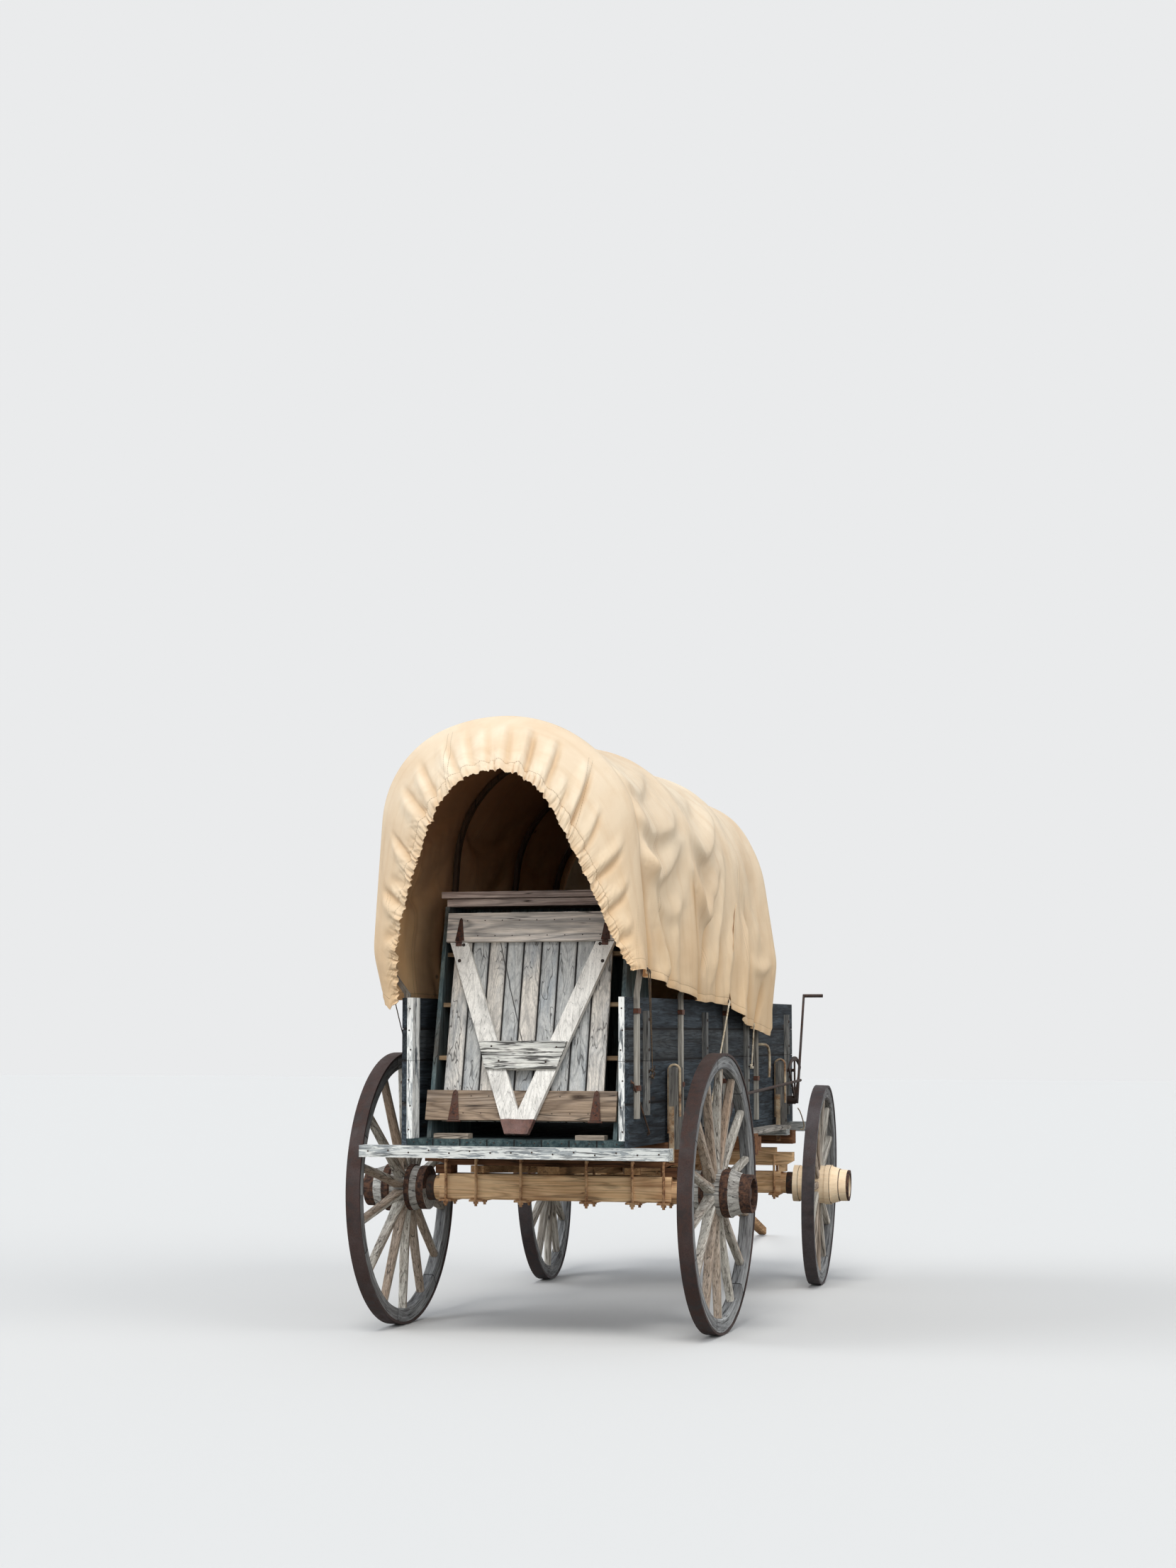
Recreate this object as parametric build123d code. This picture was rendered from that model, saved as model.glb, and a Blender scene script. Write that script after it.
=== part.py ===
from build123d import *
import math
import os

# A covered farm wagon with a cook's cupboard in its tail, in millimetres.
# While it is drawn, X is to the right, Y forward from the rear axle, Z up from the ground.
# At the end all of it moves along Y so that the middle of its length is at the origin.

# Wheels
track = 1600.0
wheelbase = 2404.0
tyre_width = 69.0
tyre_thick = 12.0
felloe_width = 58.0
felloe_depth = 62.0
felloe_chamfer = 7.0
spoke_dish = 20.0
spoke_root_radius = 90.0
spoke_chamfer = 7.0
running_gap = 0.3
press_gap = 0.1
# how far a tool that cuts right through stands out past what it cuts
cut_margin = 60.0
# rear and front wheels: outer diameter, number of spokes, lean of the top in degrees, hub size share
wheel_table = {
    "rear": (1321.0, 14, 0.5, 1.0),
    "front": (1118.0, 12, 1.9, 0.96),
}
# hub outline: place along the axle from the tyre's middle plane, radius (bands stand proud)
hub_outline = [
    (-145, 106), (-107, 106), (-107, 101), (-72, 106), (-72, 112), (-46, 112), (-46, 110),
    (36, 110), (36, 115), (72, 115), (72, 109), (120, 95), (120, 92), (172, 90),
]
hub_back = -145.0
hub_recess_start = 124.0
hub_nose = 172.0
hub_recess_radius = 72.0
# spoke sections: radius from the axle as a share between root and rim, axial width, thickness
spoke_sections = [(0.0, 42, 26), (0.045, 54, 42), (0.30, 44, 36), (1.0, 36, 34)]
arm_root_radius = 40.0
arm_tip_radius = 27.0
collar_radius = 62.0
collar_length = 40.0
arm_washer = (46.0, 8.0)
arm_nut = (34.0, 24.0)
arm_stem_less = 3.0

# Rear running gear
axle_half_depth = 60.0
axle_half_length = 585.0
axle_end_radius = 59.0
axle_end_overlap = 2.0
axle_chamfer = 8.0
rear_axle_low = 612.0
rear_axle_high = 734.0
hound_slot = 42.0
bolster_half_depth = 47.0
bolster_half_length = 665.0
bolster_shoulder_x = 568.0
bolster_shoulder_drop = 32.0
bolster_end_low = 792.0
bolster_slope = 20.0
rear_spacer_x = (529.0, 609.0)
rear_hound_x = 392.0
rear_hound_size = (76.0, 34.0)
rear_hound_back_y = -54.0
rear_hound_front = (92.0, 980.0)
reach_width = 110.0
reach_rear_thick = 36.0
reach_front_thick = 26.0
reach_tail_y = -145.0
reach_nose = 70.0
# axle clips: places across the wagon
rear_clip_places = (165.0, 394.0, 549.0)
front_clip_places = (128.0, 394.0, 549.0)
clip_rod_radius = 7.0
clip_plate = (62.0, 10.0)
clip_tail = 22.0
clip_nut = (13.0, 11.0)
clip_plate_over = 8.0
rear_clip_rise = 30.0
front_clip_drop = 12.0

# Front running gear, turned about the king pin as it stands
steer_angle = 4.6
front_axle_low = 510.0
front_axle_high = 630.0
front_hound_slot = 36.0
sand_board_high = 738.0
sand_board_half_length = 652.0
sand_board_slope = 42.0
sand_board_toe = 22.0
front_spacer_x = (572.0, 611.0)
wear_plate_high = 764.0
wear_plate_half_length = 553.0
front_bolster_low = 790.0
king_pin_radius = 14.0
king_pin_nut = (26.0, 22.0)
king_pin_tail = 12.0
king_pin_head_drop = 5.0
turn_plate_radius = 150.0
front_hound_width = 60.0
front_hound_thick = 35.4
front_hound_rear = (360.0, -500.0)
front_hound_front = (78.0, 430.0)
sway_bar = (56.0, 30.0)
sway_bar_y = -455.0
sway_bar_over = 10.0

# Tongue
tongue_length = 3050.0
tongue_root = (84.0, 66.0)
tongue_tip = (58.0, 58.0)
tongue_pin_y = 378.0
tongue_pin_radius = 9.0
tongue_tip_clear = 0.4
tongue_chamfer = 9.0
tongue_pin_head = 18.0
evener_hole = (330.0, 10.0)

# Box
box_half_width = 551.0
board_thick = 24.0
floor_low = 897.0
floor_thick = 32.0
floor_board_count = 8
box_rear = -676.0
front_overhang = 509.0
box_front = wheelbase + front_overhang
board_gap = 1.5
splice_gap = 1.0
sill_end_inset = 1.0
# side boards: height of each seam from the ground, bottom to top
side_seams = [897.0, 1093.0, 1289.0, 1436.0, 1582.0]
sill_height = 54.0
sill_half_depth = 42.0
sill_rear_overhang = 4.0
step_board_length = 1010.0
step_board_stake_gap = 5.0
step_board_sill_inset = 88.0
step_board_edge = 662.0
step_board_thick = 20.0
step_board_gap = 1.0
cleat_size = (42.0, 24.0)
cleat_top = 1520.0
# outside cleats: place along the wagon, height of the foot
cleat_table = [(-425.0, 1039.0), (714.0, 945.0), (1652.0, 945.0), (wheelbase + 301.0, 945.0)]
end_post = (28.0, 34.0)
end_groove = 28.0
gate_thick = 22.0
gate_cleat_x = 300.0

# Stakes on the bolsters
stake_x = (571.0, 615.0)
stake_top = 1253.0
stake_rod_radius = 6.0
stake_rod_rise = 43.0
stake_strap = (24.0, 6.0)
stake_strap_top = 1068.0
stake_strap_inset = 2.0
stake_strap_rise = 12.0
stake_hoop_tail = 80.0
stake_rod_foot = floor_low + stake_rod_rise
step_board_front = wheelbase - bolster_half_depth - stake_strap[1] - step_board_stake_gap
step_board_rear = step_board_front - step_board_length
# cross sills: place along the wagon, half length
sill_table = [
    (box_rear - sill_rear_overhang, 745.0),
    (560.0, 527.0),
    (step_board_rear + step_board_sill_inset, step_board_edge),
    (step_board_front - step_board_sill_inset, step_board_edge),
    (box_front - sill_half_depth - sill_end_inset, 640.0),
]

# Bows and cover
bow_thick = 19.0
bow_width = 41.0
bow_bend_height = 1600.0
side_level = 1800.0
# bows, to the outside of the cloth: place along the wagon, height of the foot, place of the crown across,
# height of the crown, then the right side and the left side, each as half width from the crown at side_level,
# lean in degrees, crown radius, shoulder radius
bow_table = [
    (-585.0, 1027.0, -90.0, 2904.0, (699.0, 5.0, 680.0, 440.0), (638.0, 3.5, 800.0, 480.0)),
    (228.0, 950.0, -10.0, 2836.0, (659.0, 3.6, 835.0, 590.0), (639.0, 3.6, 835.0, 590.0)),
    (1170.0, 950.0, 0.0, 2803.0, (659.0, 6.1, 845.0, 590.0), (659.0, 6.1, 845.0, 590.0)),
    (1900.0, 941.0, 0.0, 2740.0, (676.0, 8.6, 845.0, 590.0), (676.0, 8.6, 845.0, 590.0)),
]
cloth_thick = 8.0
# open ends of the cover: place of the foot, place of the crown, then as the bows from the crown on
rear_mouth = (-760.0, -968.0, 0.0, 2606.0, (555.0, 20.0, 420.0, 260.0), (555.0, 20.0, 420.0, 260.0))
front_mouth = (2060.0, 2230.0, 0.0, 2470.0, (508.0, 18.0, 450.0, 300.0), (508.0, 18.0, 450.0, 300.0))
# hem of the cover at the rear mouth, each bow and the front mouth: right and left half width, height
hem_table = [
    (590.0, 590.0, 1660.0), (601.0, 668.0, 1680.0), (612.0, 612.0, 1606.0),
    (612.0, 612.0, 1555.0), (622.0, 622.0, 1415.0), (585.0, 585.0, 1600.0),
]
staple_heights = (1155.0, 1506.0)
staple_size = (24.0, 4.0)
staple_cut_margin = 1.0

# Cook's cupboard in the tail
cupboard_half_width = 463.0
cupboard_board = 20.0
cupboard_front_y = 0.0
cupboard_low = 1018.0
cupboard_high = 2022.0
shelf_heights = (1290.0, 1540.0, 1780.0)
divider_places = (-155.0, 155.0)
divider_range = (1290.0, 1780.0)
shelf_setback = 30.0
cap_lower = (455.0, 34.0)
cap_gap_strip = 6.0
cap_strip_inset = 20.0
cap_upper = (476.0, 30.0)
cap_overhang = 22.0
lid_hinge_y = -602.0
lid_hinge_z = 1010.0
lid_head_y = -372.0
lid_edge_gap = 5.0
lid_board_count = 12
lid_board_thick = 20.0
lid_batten_thick = 22.0
lid_lower_batten = 140.0
lid_upper_batten_drop = 30.0
lid_upper_batten_height = 141.0
lid_upper_half_width = 430.0
lid_seat_gap = 0.5
hinge_places = (-366.0, 372.0)
# lower hinge straps: half width at the knuckle, length, thickness, and how many times narrower they end
hinge_strap = (34.0, 150.0, 4.0)
hinge_strap_taper = 3.0
hinge_knuckle_radius = 5.0

# Prop leg of the lid
leg_pivot_drop = 4.0
leg_length = 922.0
leg_knuckle = 5.0
leg_thick = 28.0
leg_arm_width = 84.0
leg_head_x = 362.0
leg_foot_half = 54.0
leg_cross_height = (1251.0, 1376.0)
leg_shoe_height = 68.0
leg_shoe_thick = 3.0
leg_strap = (30.0, 130.0, 4.0)
leg_head_gap = 2.0
leg_crotch = 110.0
leg_cross_inset = 10.0
# eyes of the leg's irons: place off the strap's middle and half length, as shares of the strap's width
leg_eye_share = (0.385, 0.115)
leg_iron_gap = 2.0
leg_eye_root = 3.0
hook_sink = 1.0

# Brake on the right
brake_beam = (702.0, 772.0, 70.0)
brake_block = (76.0, 105.0)
brake_clear = 8.0
brake_pivot = (wheelbase + 216.0, 1030.0)
brake_arc_radius = 250.0
brake_arc_width = 22.0
brake_arc_angle = 42.0
brake_arc_leg_inset = 3.0
brake_arc_leg = (24.0, 18.0)
brake_arc_strut = (18.0, 235.0)
brake_wedge_reach = 1.2
brake_arc_x = (622.0, 630.0)
brake_boss_radius = 24.0
brake_lug = (170.0, 9.0)
brake_lever_x = (634.0, 644.0)
brake_lever_tilt = 20.0
brake_lever_length = 640.0
brake_lever_width = 30.0
brake_lever_head_width = 20.0
brake_lever_tail = 20.0
brake_pin_radius = 16.0
brake_handle = (118.0, 10.0)
brake_rod_radius = 8.0
brake_rod_rise = 112.0
brake_crank_y = 1010.0
brake_crank_z = 1090.0
brake_crank_head = 20.0
brake_crank_radius = 10.0
brake_foot = (44.0, 8.0)

nodes = {}
on_end = (Align.CENTER, Align.CENTER, Align.MIN)


def block(x0, x1, y0, y1, z0, z1):
    """A box between two corners."""
    at = Location(((x0 + x1) / 2, (y0 + y1) / 2, (z0 + z1) / 2))
    return at * Box(abs(x1 - x0), abs(y1 - y0), abs(z1 - z0))


def solids_of(*shapes):
    """All solids of the shapes, flat."""
    return [solid for shape in shapes for solid in shape.solids()]


def keep(name, *shapes):
    """Store the shapes as one node."""
    found = solids_of(*shapes)
    nodes[name] = found[0] if len(found) == 1 else Compound(children=found)


def both_sides(*shapes):
    """The shapes and their mirror images across the wagon."""
    return [*shapes, *[mirror(shape, about=Plane.YZ) for shape in shapes]]


def rod(start, end, radius):
    """A round bar between two points."""
    a, b = Vector(*start), Vector(*end)
    plane = Plane(origin=a, z_dir=b - a)
    return plane * Cylinder(radius, (b - a).length, align=on_end)


def bar(start, end, width, thick):
    """A square-edged bar between two points, its width level and its thickness upright."""
    a, b = Vector(*start), Vector(*end)
    along = (b - a).normalized()
    side = Vector(0, 0, 1).cross(along).normalized()
    plane = Plane(origin=a, x_dir=side, z_dir=along)
    return plane * Box(width, thick, (b - a).length, align=on_end)


def outline_yz(points, x0, x1):
    """A plate cut from an outline of (y, z) points, from x0 to x1."""
    face = make_face(Polyline(*[(x0, y, z) for y, z in points], close=True))
    return extrude(face, amount=x1 - x0, dir=(1, 0, 0))


def revolve_along_x(points):
    """A turned piece about X from (x, radius) points, closed on the axis."""
    ring = [(points[0][0], 0, 0), *[(x, 0, r) for x, r in points], (points[-1][0], 0, 0)]
    return revolve(make_face(Polyline(*ring, close=True)), Axis.X)


# Wheels, each drawn with its axle along X and its outer side towards +X

def wheel_height(kind):
    diameter, _, lean, _ = wheel_table[kind]
    angle = math.radians(lean)
    return diameter / 2 * math.cos(angle) + tyre_width / 2 * math.sin(angle)


def wheel_spokes(diameter, count):
    felloe_inner = diameter / 2 - tyre_thick - felloe_depth - running_gap
    _, tip_width, tip_thick = spoke_sections[-1]
    slant = spoke_dish / (felloe_inner - spoke_root_radius)
    rim = math.sqrt(felloe_inner ** 2 - tip_thick ** 2 / 4) - tip_width / 2 * slant
    root = Vector(-spoke_dish, 0, spoke_root_radius)
    tip = Vector(0, 0, rim)
    along = (tip - root).normalized()
    faces = []
    for share, width, thick in spoke_sections:
        plane = Plane(origin=root + (tip - root) * share, x_dir=(1, 0, 0), z_dir=along)
        sketch = Rectangle(width, thick)
        faces.append(plane * chamfer(sketch.vertices(), spoke_chamfer))
    one = loft(faces, ruled=True)
    return [Rotation(360 * i / count, 0, 0) * one for i in range(count)]


def wheel_hub(share, spokes):
    body = revolve_along_x([(x, r * share) for x, r in hub_outline])
    length = hub_recess_start - hub_back
    bore = Plane(origin=(hub_back, 0, 0), z_dir=(1, 0, 0)) * Cone(
        arm_root_radius + running_gap, arm_tip_radius + running_gap, length, align=on_end)
    recess = Plane(origin=(hub_recess_start, 0, 0), z_dir=(1, 0, 0)) * Cylinder(
        hub_recess_radius * share, hub_nose, align=on_end)
    return body - bore - recess - spokes


def ring_about_x(outer, depth, width, inner_chamfer):
    half, c = width / 2, inner_chamfer
    inner = outer - depth
    points = [(-half, outer), (half, outer), (half, inner + c), (-half, inner + c)]
    if c:
        points[3:3] = [(half - c, inner), (c - half, inner)]
    return revolve(make_face(Polyline(*[(x, 0, r) for x, r in points], close=True)), Axis.X)


def wheel_parts(kind):
    diameter, count, _, share = wheel_table[kind]
    spokes = wheel_spokes(diameter, count)
    return {
        "tyre": [ring_about_x(diameter / 2, tyre_thick, tyre_width, 0)],
        "felloe": [ring_about_x(diameter / 2 - tyre_thick, felloe_depth, felloe_width, felloe_chamfer)],
        "spokes": spokes,
        "hub": [wheel_hub(share, spokes)],
    }


def axle_arm():
    """The iron skein that a wheel turns on, with its collar, washer and nut."""
    root = hub_back - running_gap
    cone = Plane(origin=(root, 0, 0), z_dir=(1, 0, 0)) * Cone(
        arm_root_radius, arm_tip_radius, hub_recess_start - root, align=on_end)
    collar = rod((root - collar_length, 0, 0), (root, 0, 0), collar_radius)
    washer_end = hub_recess_start + running_gap + arm_washer[1]
    stem = rod((hub_recess_start, 0, 0), (washer_end + arm_nut[1], 0, 0), arm_tip_radius - arm_stem_less)
    washer = rod((hub_recess_start + running_gap, 0, 0), (washer_end, 0, 0), arm_washer[0])
    nut_plane = Plane(origin=(washer_end, 0, 0), z_dir=(1, 0, 0))
    nut = extrude(nut_plane * RegularPolygon(arm_nut[0], 6), amount=arm_nut[1])
    return cone + collar + stem + washer + nut


def wheel_place(kind):
    return Location((track / 2, 0, wheel_height(kind))) * Rotation(0, wheel_table[kind][2], 0)


front_place = Location((0, wheelbase, 0)) * Rotation(0, 0, steer_angle)
gear_place = {"rear": Location((0, 0, 0)), "front": front_place}

for kind in wheel_table:
    right = {name: [wheel_place(kind) * s for s in shapes] for name, shapes in wheel_parts(kind).items()}
    for side in ("right", "left"):
        for name, shapes in right.items():
            turned = shapes if side == "right" else [mirror(s, about=Plane.YZ) for s in shapes]
            keep(f"{kind}_{side}_{name}", *[gear_place[kind] * s for s in turned])


# Rear axle, bolster, hounds and reach

def axle_beam(kind, low, high):
    """The wooden axle: square between the clips and round where it meets the skeins."""
    body = block(-axle_half_length, axle_half_length, -axle_half_depth, axle_half_depth, low, high)
    body = chamfer(body.edges().filter_by(Axis.X), axle_chamfer)
    place = wheel_place(kind)
    start = hub_back - running_gap - collar_length
    inner = (axle_half_length - axle_end_overlap - track / 2, 0, 0)
    end = place * rod(inner, (start, 0, 0), axle_end_radius)
    return body + end + mirror(end, about=Plane.YZ)


def axle_arms(kind):
    return both_sides(wheel_place(kind) * axle_arm())


def axle_clips(places, low, high, face, over):
    """Clip rods on both faces of an axle, each pair with a plate and nuts below."""
    found = []
    y = axle_half_depth + clip_rod_radius
    for x in places:
        rods = []
        for side in (-1, 1):
            nut_top = low - clip_plate[1]
            head = high - clip_rod_radius
            rods.append(rod((x, side * y, nut_top - clip_tail), (x, side * y, high), clip_rod_radius))
            rods.append(rod((x, side * face, head), (x, side * y, head), clip_rod_radius))
            nut = Location((x, side * y, nut_top - clip_nut[1] / 2)) * extrude(
                RegularPolygon(clip_nut[0], 6), amount=clip_nut[1] / 2, both=True)
            rods.append(nut)
        reach_y = y + clip_rod_radius + over
        plate_half = clip_plate[0] / 2
        plate = block(x - plate_half, x + plate_half, -reach_y, reach_y, low - clip_plate[1], low)
        whole = plate
        for piece in rods:
            whole = whole + piece
        found.append(whole)
    return both_sides(*found)


def bolster(low, under):
    """The cross beam under the box, with a shoulder at each end for the stakes; under is its underside."""
    shoulder = floor_low - bolster_shoulder_drop
    points = [
        (0, low), *under, (bolster_half_length, shoulder),
        (bolster_shoulder_x, shoulder), (bolster_shoulder_x, floor_low), (0, floor_low),
    ]
    face = make_face(Polyline(*[(x, -bolster_half_depth, z) for x, z in points], close=True))
    half = extrude(face, amount=2 * bolster_half_depth, dir=(0, 1, 0))
    return half + mirror(half, about=Plane.YZ)


rear_bolster_low = rear_axle_high + hound_slot
rear_under = [
    (bolster_shoulder_x - bolster_slope, rear_bolster_low),
    (bolster_shoulder_x + bolster_slope, bolster_end_low), (bolster_half_length, bolster_end_low),
]
reach_rear_z = rear_axle_high + hound_slot / 2
reach_front_z = front_axle_high + front_hound_slot / 2
reach_slope = (reach_front_z - reach_rear_z) / wheelbase

keep("rear_axle", axle_beam("rear", rear_axle_low, rear_axle_high))
keep("rear_skeins", *axle_arms("rear"))
rear_clips = axle_clips(
    rear_clip_places, rear_axle_low, rear_bolster_low + rear_clip_rise, bolster_half_depth, clip_plate_over)
keep("rear_irons", *rear_clips)
spacer = block(*rear_spacer_x, -bolster_half_depth, bolster_half_depth, rear_axle_high, rear_bolster_low)
keep("rear_bolster", bolster(rear_bolster_low, rear_under) + spacer + mirror(spacer, about=Plane.YZ))


def hound_height(y):
    return reach_rear_z + reach_slope * y


hound_back = (rear_hound_x, rear_hound_back_y, hound_height(rear_hound_back_y))
hound_front = (*rear_hound_front, hound_height(rear_hound_front[1]))
hound = bar(hound_back, hound_front, *rear_hound_size)
clip_y = axle_half_depth + clip_rod_radius
hound_clip_hole = rod(
    (rear_clip_places[1], clip_y, rear_axle_low), (rear_clip_places[1], clip_y, floor_low),
    clip_rod_radius + running_gap)
keep("rear_hounds", *both_sides(hound - hound_clip_hole))

reach_tail = (reach_tail_y, hound_height(reach_tail_y))
reach_head = (wheelbase + reach_nose, hound_height(wheelbase + reach_nose))
reach = outline_yz(
    [
        (reach_tail[0], reach_tail[1] - reach_rear_thick / 2),
        (reach_head[0], reach_head[1] - reach_front_thick / 2),
        (reach_head[0], reach_head[1] + reach_front_thick / 2),
        (reach_tail[0], reach_tail[1] + reach_rear_thick / 2),
    ], -reach_width / 2, reach_width / 2)
pin_line = rod(
    (0, wheelbase, front_axle_low - cut_margin), (0, wheelbase, floor_low), king_pin_radius + press_gap)
reach = reach - pin_line - hound - mirror(hound, about=Plane.YZ)
keep("reach", reach)

# Front bolster and king pin
front_under = [(bolster_half_length, front_bolster_low)]
front_bolster = Location((0, wheelbase, 0)) * bolster(front_bolster_low, front_under)
keep("front_bolster", front_bolster - pin_line)
pin_low = front_axle_low - running_gap - king_pin_nut[1]
pin = rod(
    (0, wheelbase, pin_low - king_pin_tail), (0, wheelbase, floor_low - king_pin_head_drop), king_pin_radius)
nut = Location((0, wheelbase, pin_low)) * extrude(RegularPolygon(king_pin_nut[0], 6), amount=king_pin_nut[1])
turn_plate = rod(
    (0, wheelbase, wear_plate_high + running_gap), (0, wheelbase, front_bolster_low), turn_plate_radius)
keep("king_pin", pin + nut + turn_plate)

# Front axle, sand board and hounds, in their own straight frame, then turned
pin_hole = rod((0, 0, pin_low - cut_margin), (0, 0, floor_low), king_pin_radius + running_gap)
front_beam = axle_beam("front", front_axle_low, front_axle_high) - pin_hole
keep("front_axle", front_place * front_beam)
keep("front_skeins", *[front_place * s for s in axle_arms("front")])

sand_low = front_axle_high + front_hound_slot
sand_points = [
    (0, sand_low), (sand_board_half_length - sand_board_slope, sand_low),
    (sand_board_half_length, sand_low + sand_board_toe), (sand_board_half_length, sand_board_high),
    (wear_plate_half_length, sand_board_high), (wear_plate_half_length, wear_plate_high),
    (0, wear_plate_high),
]
sand_face = make_face(Polyline(*[(x, -bolster_half_depth, z) for x, z in sand_points], close=True))
sand_half = extrude(sand_face, amount=2 * bolster_half_depth, dir=(0, 1, 0))
front_spacer = block(*front_spacer_x, -bolster_half_depth, bolster_half_depth, front_axle_high, sand_low)
sand_side = sand_half + front_spacer
sand_board = sand_side + mirror(sand_side, about=Plane.YZ)
keep("sand_board", front_place * (sand_board - pin_hole))

slot_mid = front_axle_high + front_hound_slot / 2
front_hound = bar(
    (*front_hound_rear, slot_mid), (*front_hound_front, slot_mid), front_hound_width, front_hound_thick)
pin_reach = front_hound_front[0] + front_hound_width / 2 + tongue_pin_head
pin_cut = pin_reach + cut_margin
tongue_pin_hole = rod(
    (-pin_cut, tongue_pin_y, slot_mid), (pin_cut, tongue_pin_y, slot_mid), tongue_pin_radius + running_gap)
sway_half = front_hound_rear[0] + sway_bar_over
sway_top = slot_mid - front_hound_thick / 2
sway = block(
    -sway_half, sway_half, sway_bar_y - sway_bar[0] / 2, sway_bar_y + sway_bar[0] / 2,
    sway_top - sway_bar[1], sway_top)
hound_pair = sway + front_hound + mirror(front_hound, about=Plane.YZ)
keep("front_hounds", front_place * (hound_pair - tongue_pin_hole))

# Tongue, resting with its tip on the ground
tip_half = tongue_tip[1] / 2
drop = (slot_mid - tongue_tip_clear) / math.hypot(tongue_length, tip_half)
tongue_angle = math.degrees(math.asin(drop) - math.atan2(tip_half, tongue_length))
tongue_place = front_place * Location((0, tongue_pin_y, slot_mid)) * Rotation(-tongue_angle, 0, 0)
tongue_start = -tongue_root[1] / 2
root_face = Plane(origin=(0, tongue_start, 0), x_dir=(1, 0, 0), z_dir=(0, 1, 0)) * Rectangle(*tongue_root)
tip_face = Plane(origin=(0, tongue_length, 0), x_dir=(1, 0, 0), z_dir=(0, 1, 0)) * Rectangle(*tongue_tip)
pole_faces = [chamfer(face.vertices(), tongue_chamfer) for face in (root_face, tip_face)]
pole = loft(pole_faces, ruled=True)
cross_hole = rod((-pin_cut, 0, 0), (pin_cut, 0, 0), tongue_pin_radius + press_gap)
draught_hole = rod((0, evener_hole[0], -tongue_root[1]), (0, evener_hole[0], tongue_root[1]), evener_hole[1])
pole = pole - cross_hole - draught_hole
keep("tongue", tongue_place * pole)
cross_pin = rod((-pin_reach, tongue_pin_y, slot_mid), (pin_reach, tongue_pin_y, slot_mid), tongue_pin_radius)
front_clips = axle_clips(
    front_clip_places, front_axle_low, sand_board_high - front_clip_drop, bolster_half_depth, clip_plate_over)
keep("front_irons", *[front_place * s for s in (cross_pin, *front_clips)])

# Box floor, sills, sides and ends

inner_half = box_half_width - board_thick
floor_high = floor_low + floor_thick
board_step = 2 * inner_half / floor_board_count
floor_boards = []
for i in range(floor_board_count):
    left = -inner_half + i * board_step + board_gap / 2
    right = left + board_step - board_gap
    floor_boards.append(block(left, right, box_rear, box_front, floor_low, floor_high))
keep("floor_boards", *floor_boards)

sills = []
for y, half in sill_table:
    sill = block(-half, half, y - sill_half_depth, y + sill_half_depth, floor_low - sill_height, floor_low)
    sills.append(sill)
step_cut_range = (step_board_rear - cut_margin, step_board_front + cut_margin)
step_cut = block(
    box_half_width, step_board_edge + cut_margin, *step_cut_range, floor_low - step_board_thick, floor_low)
left_cut = block(
    -step_board_edge - cut_margin, -box_half_width, *step_cut_range, floor_low - sill_height, floor_low)
keep("cross_sills", *[sill - step_cut - left_cut for sill in sills])
keep("step_board", block(
    box_half_width + step_board_gap, step_board_edge, step_board_rear, step_board_front,
    floor_low - step_board_thick, floor_low))

for side, sign in (("left", -1), ("right", 1)):
    boards = []
    for low, high in zip(side_seams, side_seams[1:]):
        seam = board_gap / 2
        boards.append(block(
            sign * inner_half, sign * box_half_width, box_rear, box_front, low + seam, high - seam))
    keep(f"side_lower_{side}", *boards[:2])
    keep(f"side_upper_{side}", *boards[2:])

cleats = []
box_split = side_seams[2]
cleat_half = cleat_size[0] / 2
cleat_face = box_half_width + cleat_size[1]
for y, foot in cleat_table:
    for low, high in ((foot, box_split - splice_gap), (box_split + splice_gap, cleat_top)):
        cleats.append(block(box_half_width, cleat_face, y - cleat_half, y + cleat_half, low, high))
keep("side_cleats", *both_sides(*cleats))

posts = []
for i in range(2):
    y = box_rear + i * (end_post[1] + end_groove)
    for low, high in ((floor_high, box_split - splice_gap), (box_split + splice_gap, side_seams[-1])):
        posts.append(block(inner_half - end_post[0], inner_half, y, y + end_post[1], low, high))
keep("rear_posts", *both_sides(*posts))

gate_y = box_front - end_post[1] - gate_thick
gate_boards = []
gate_low = [floor_high, *side_seams[1:]]
for low, high in zip(gate_low, gate_low[1:]):
    seam = board_gap / 2
    gate_boards.append(block(-inner_half, inner_half, gate_y, gate_y + gate_thick, low + seam, high - seam))
gate_cleat = block(
    gate_cleat_x, gate_cleat_x + cleat_size[0], gate_y + gate_thick, box_front, floor_high, side_seams[-1])
keep("front_gate", *gate_boards, *both_sides(gate_cleat))

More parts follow.
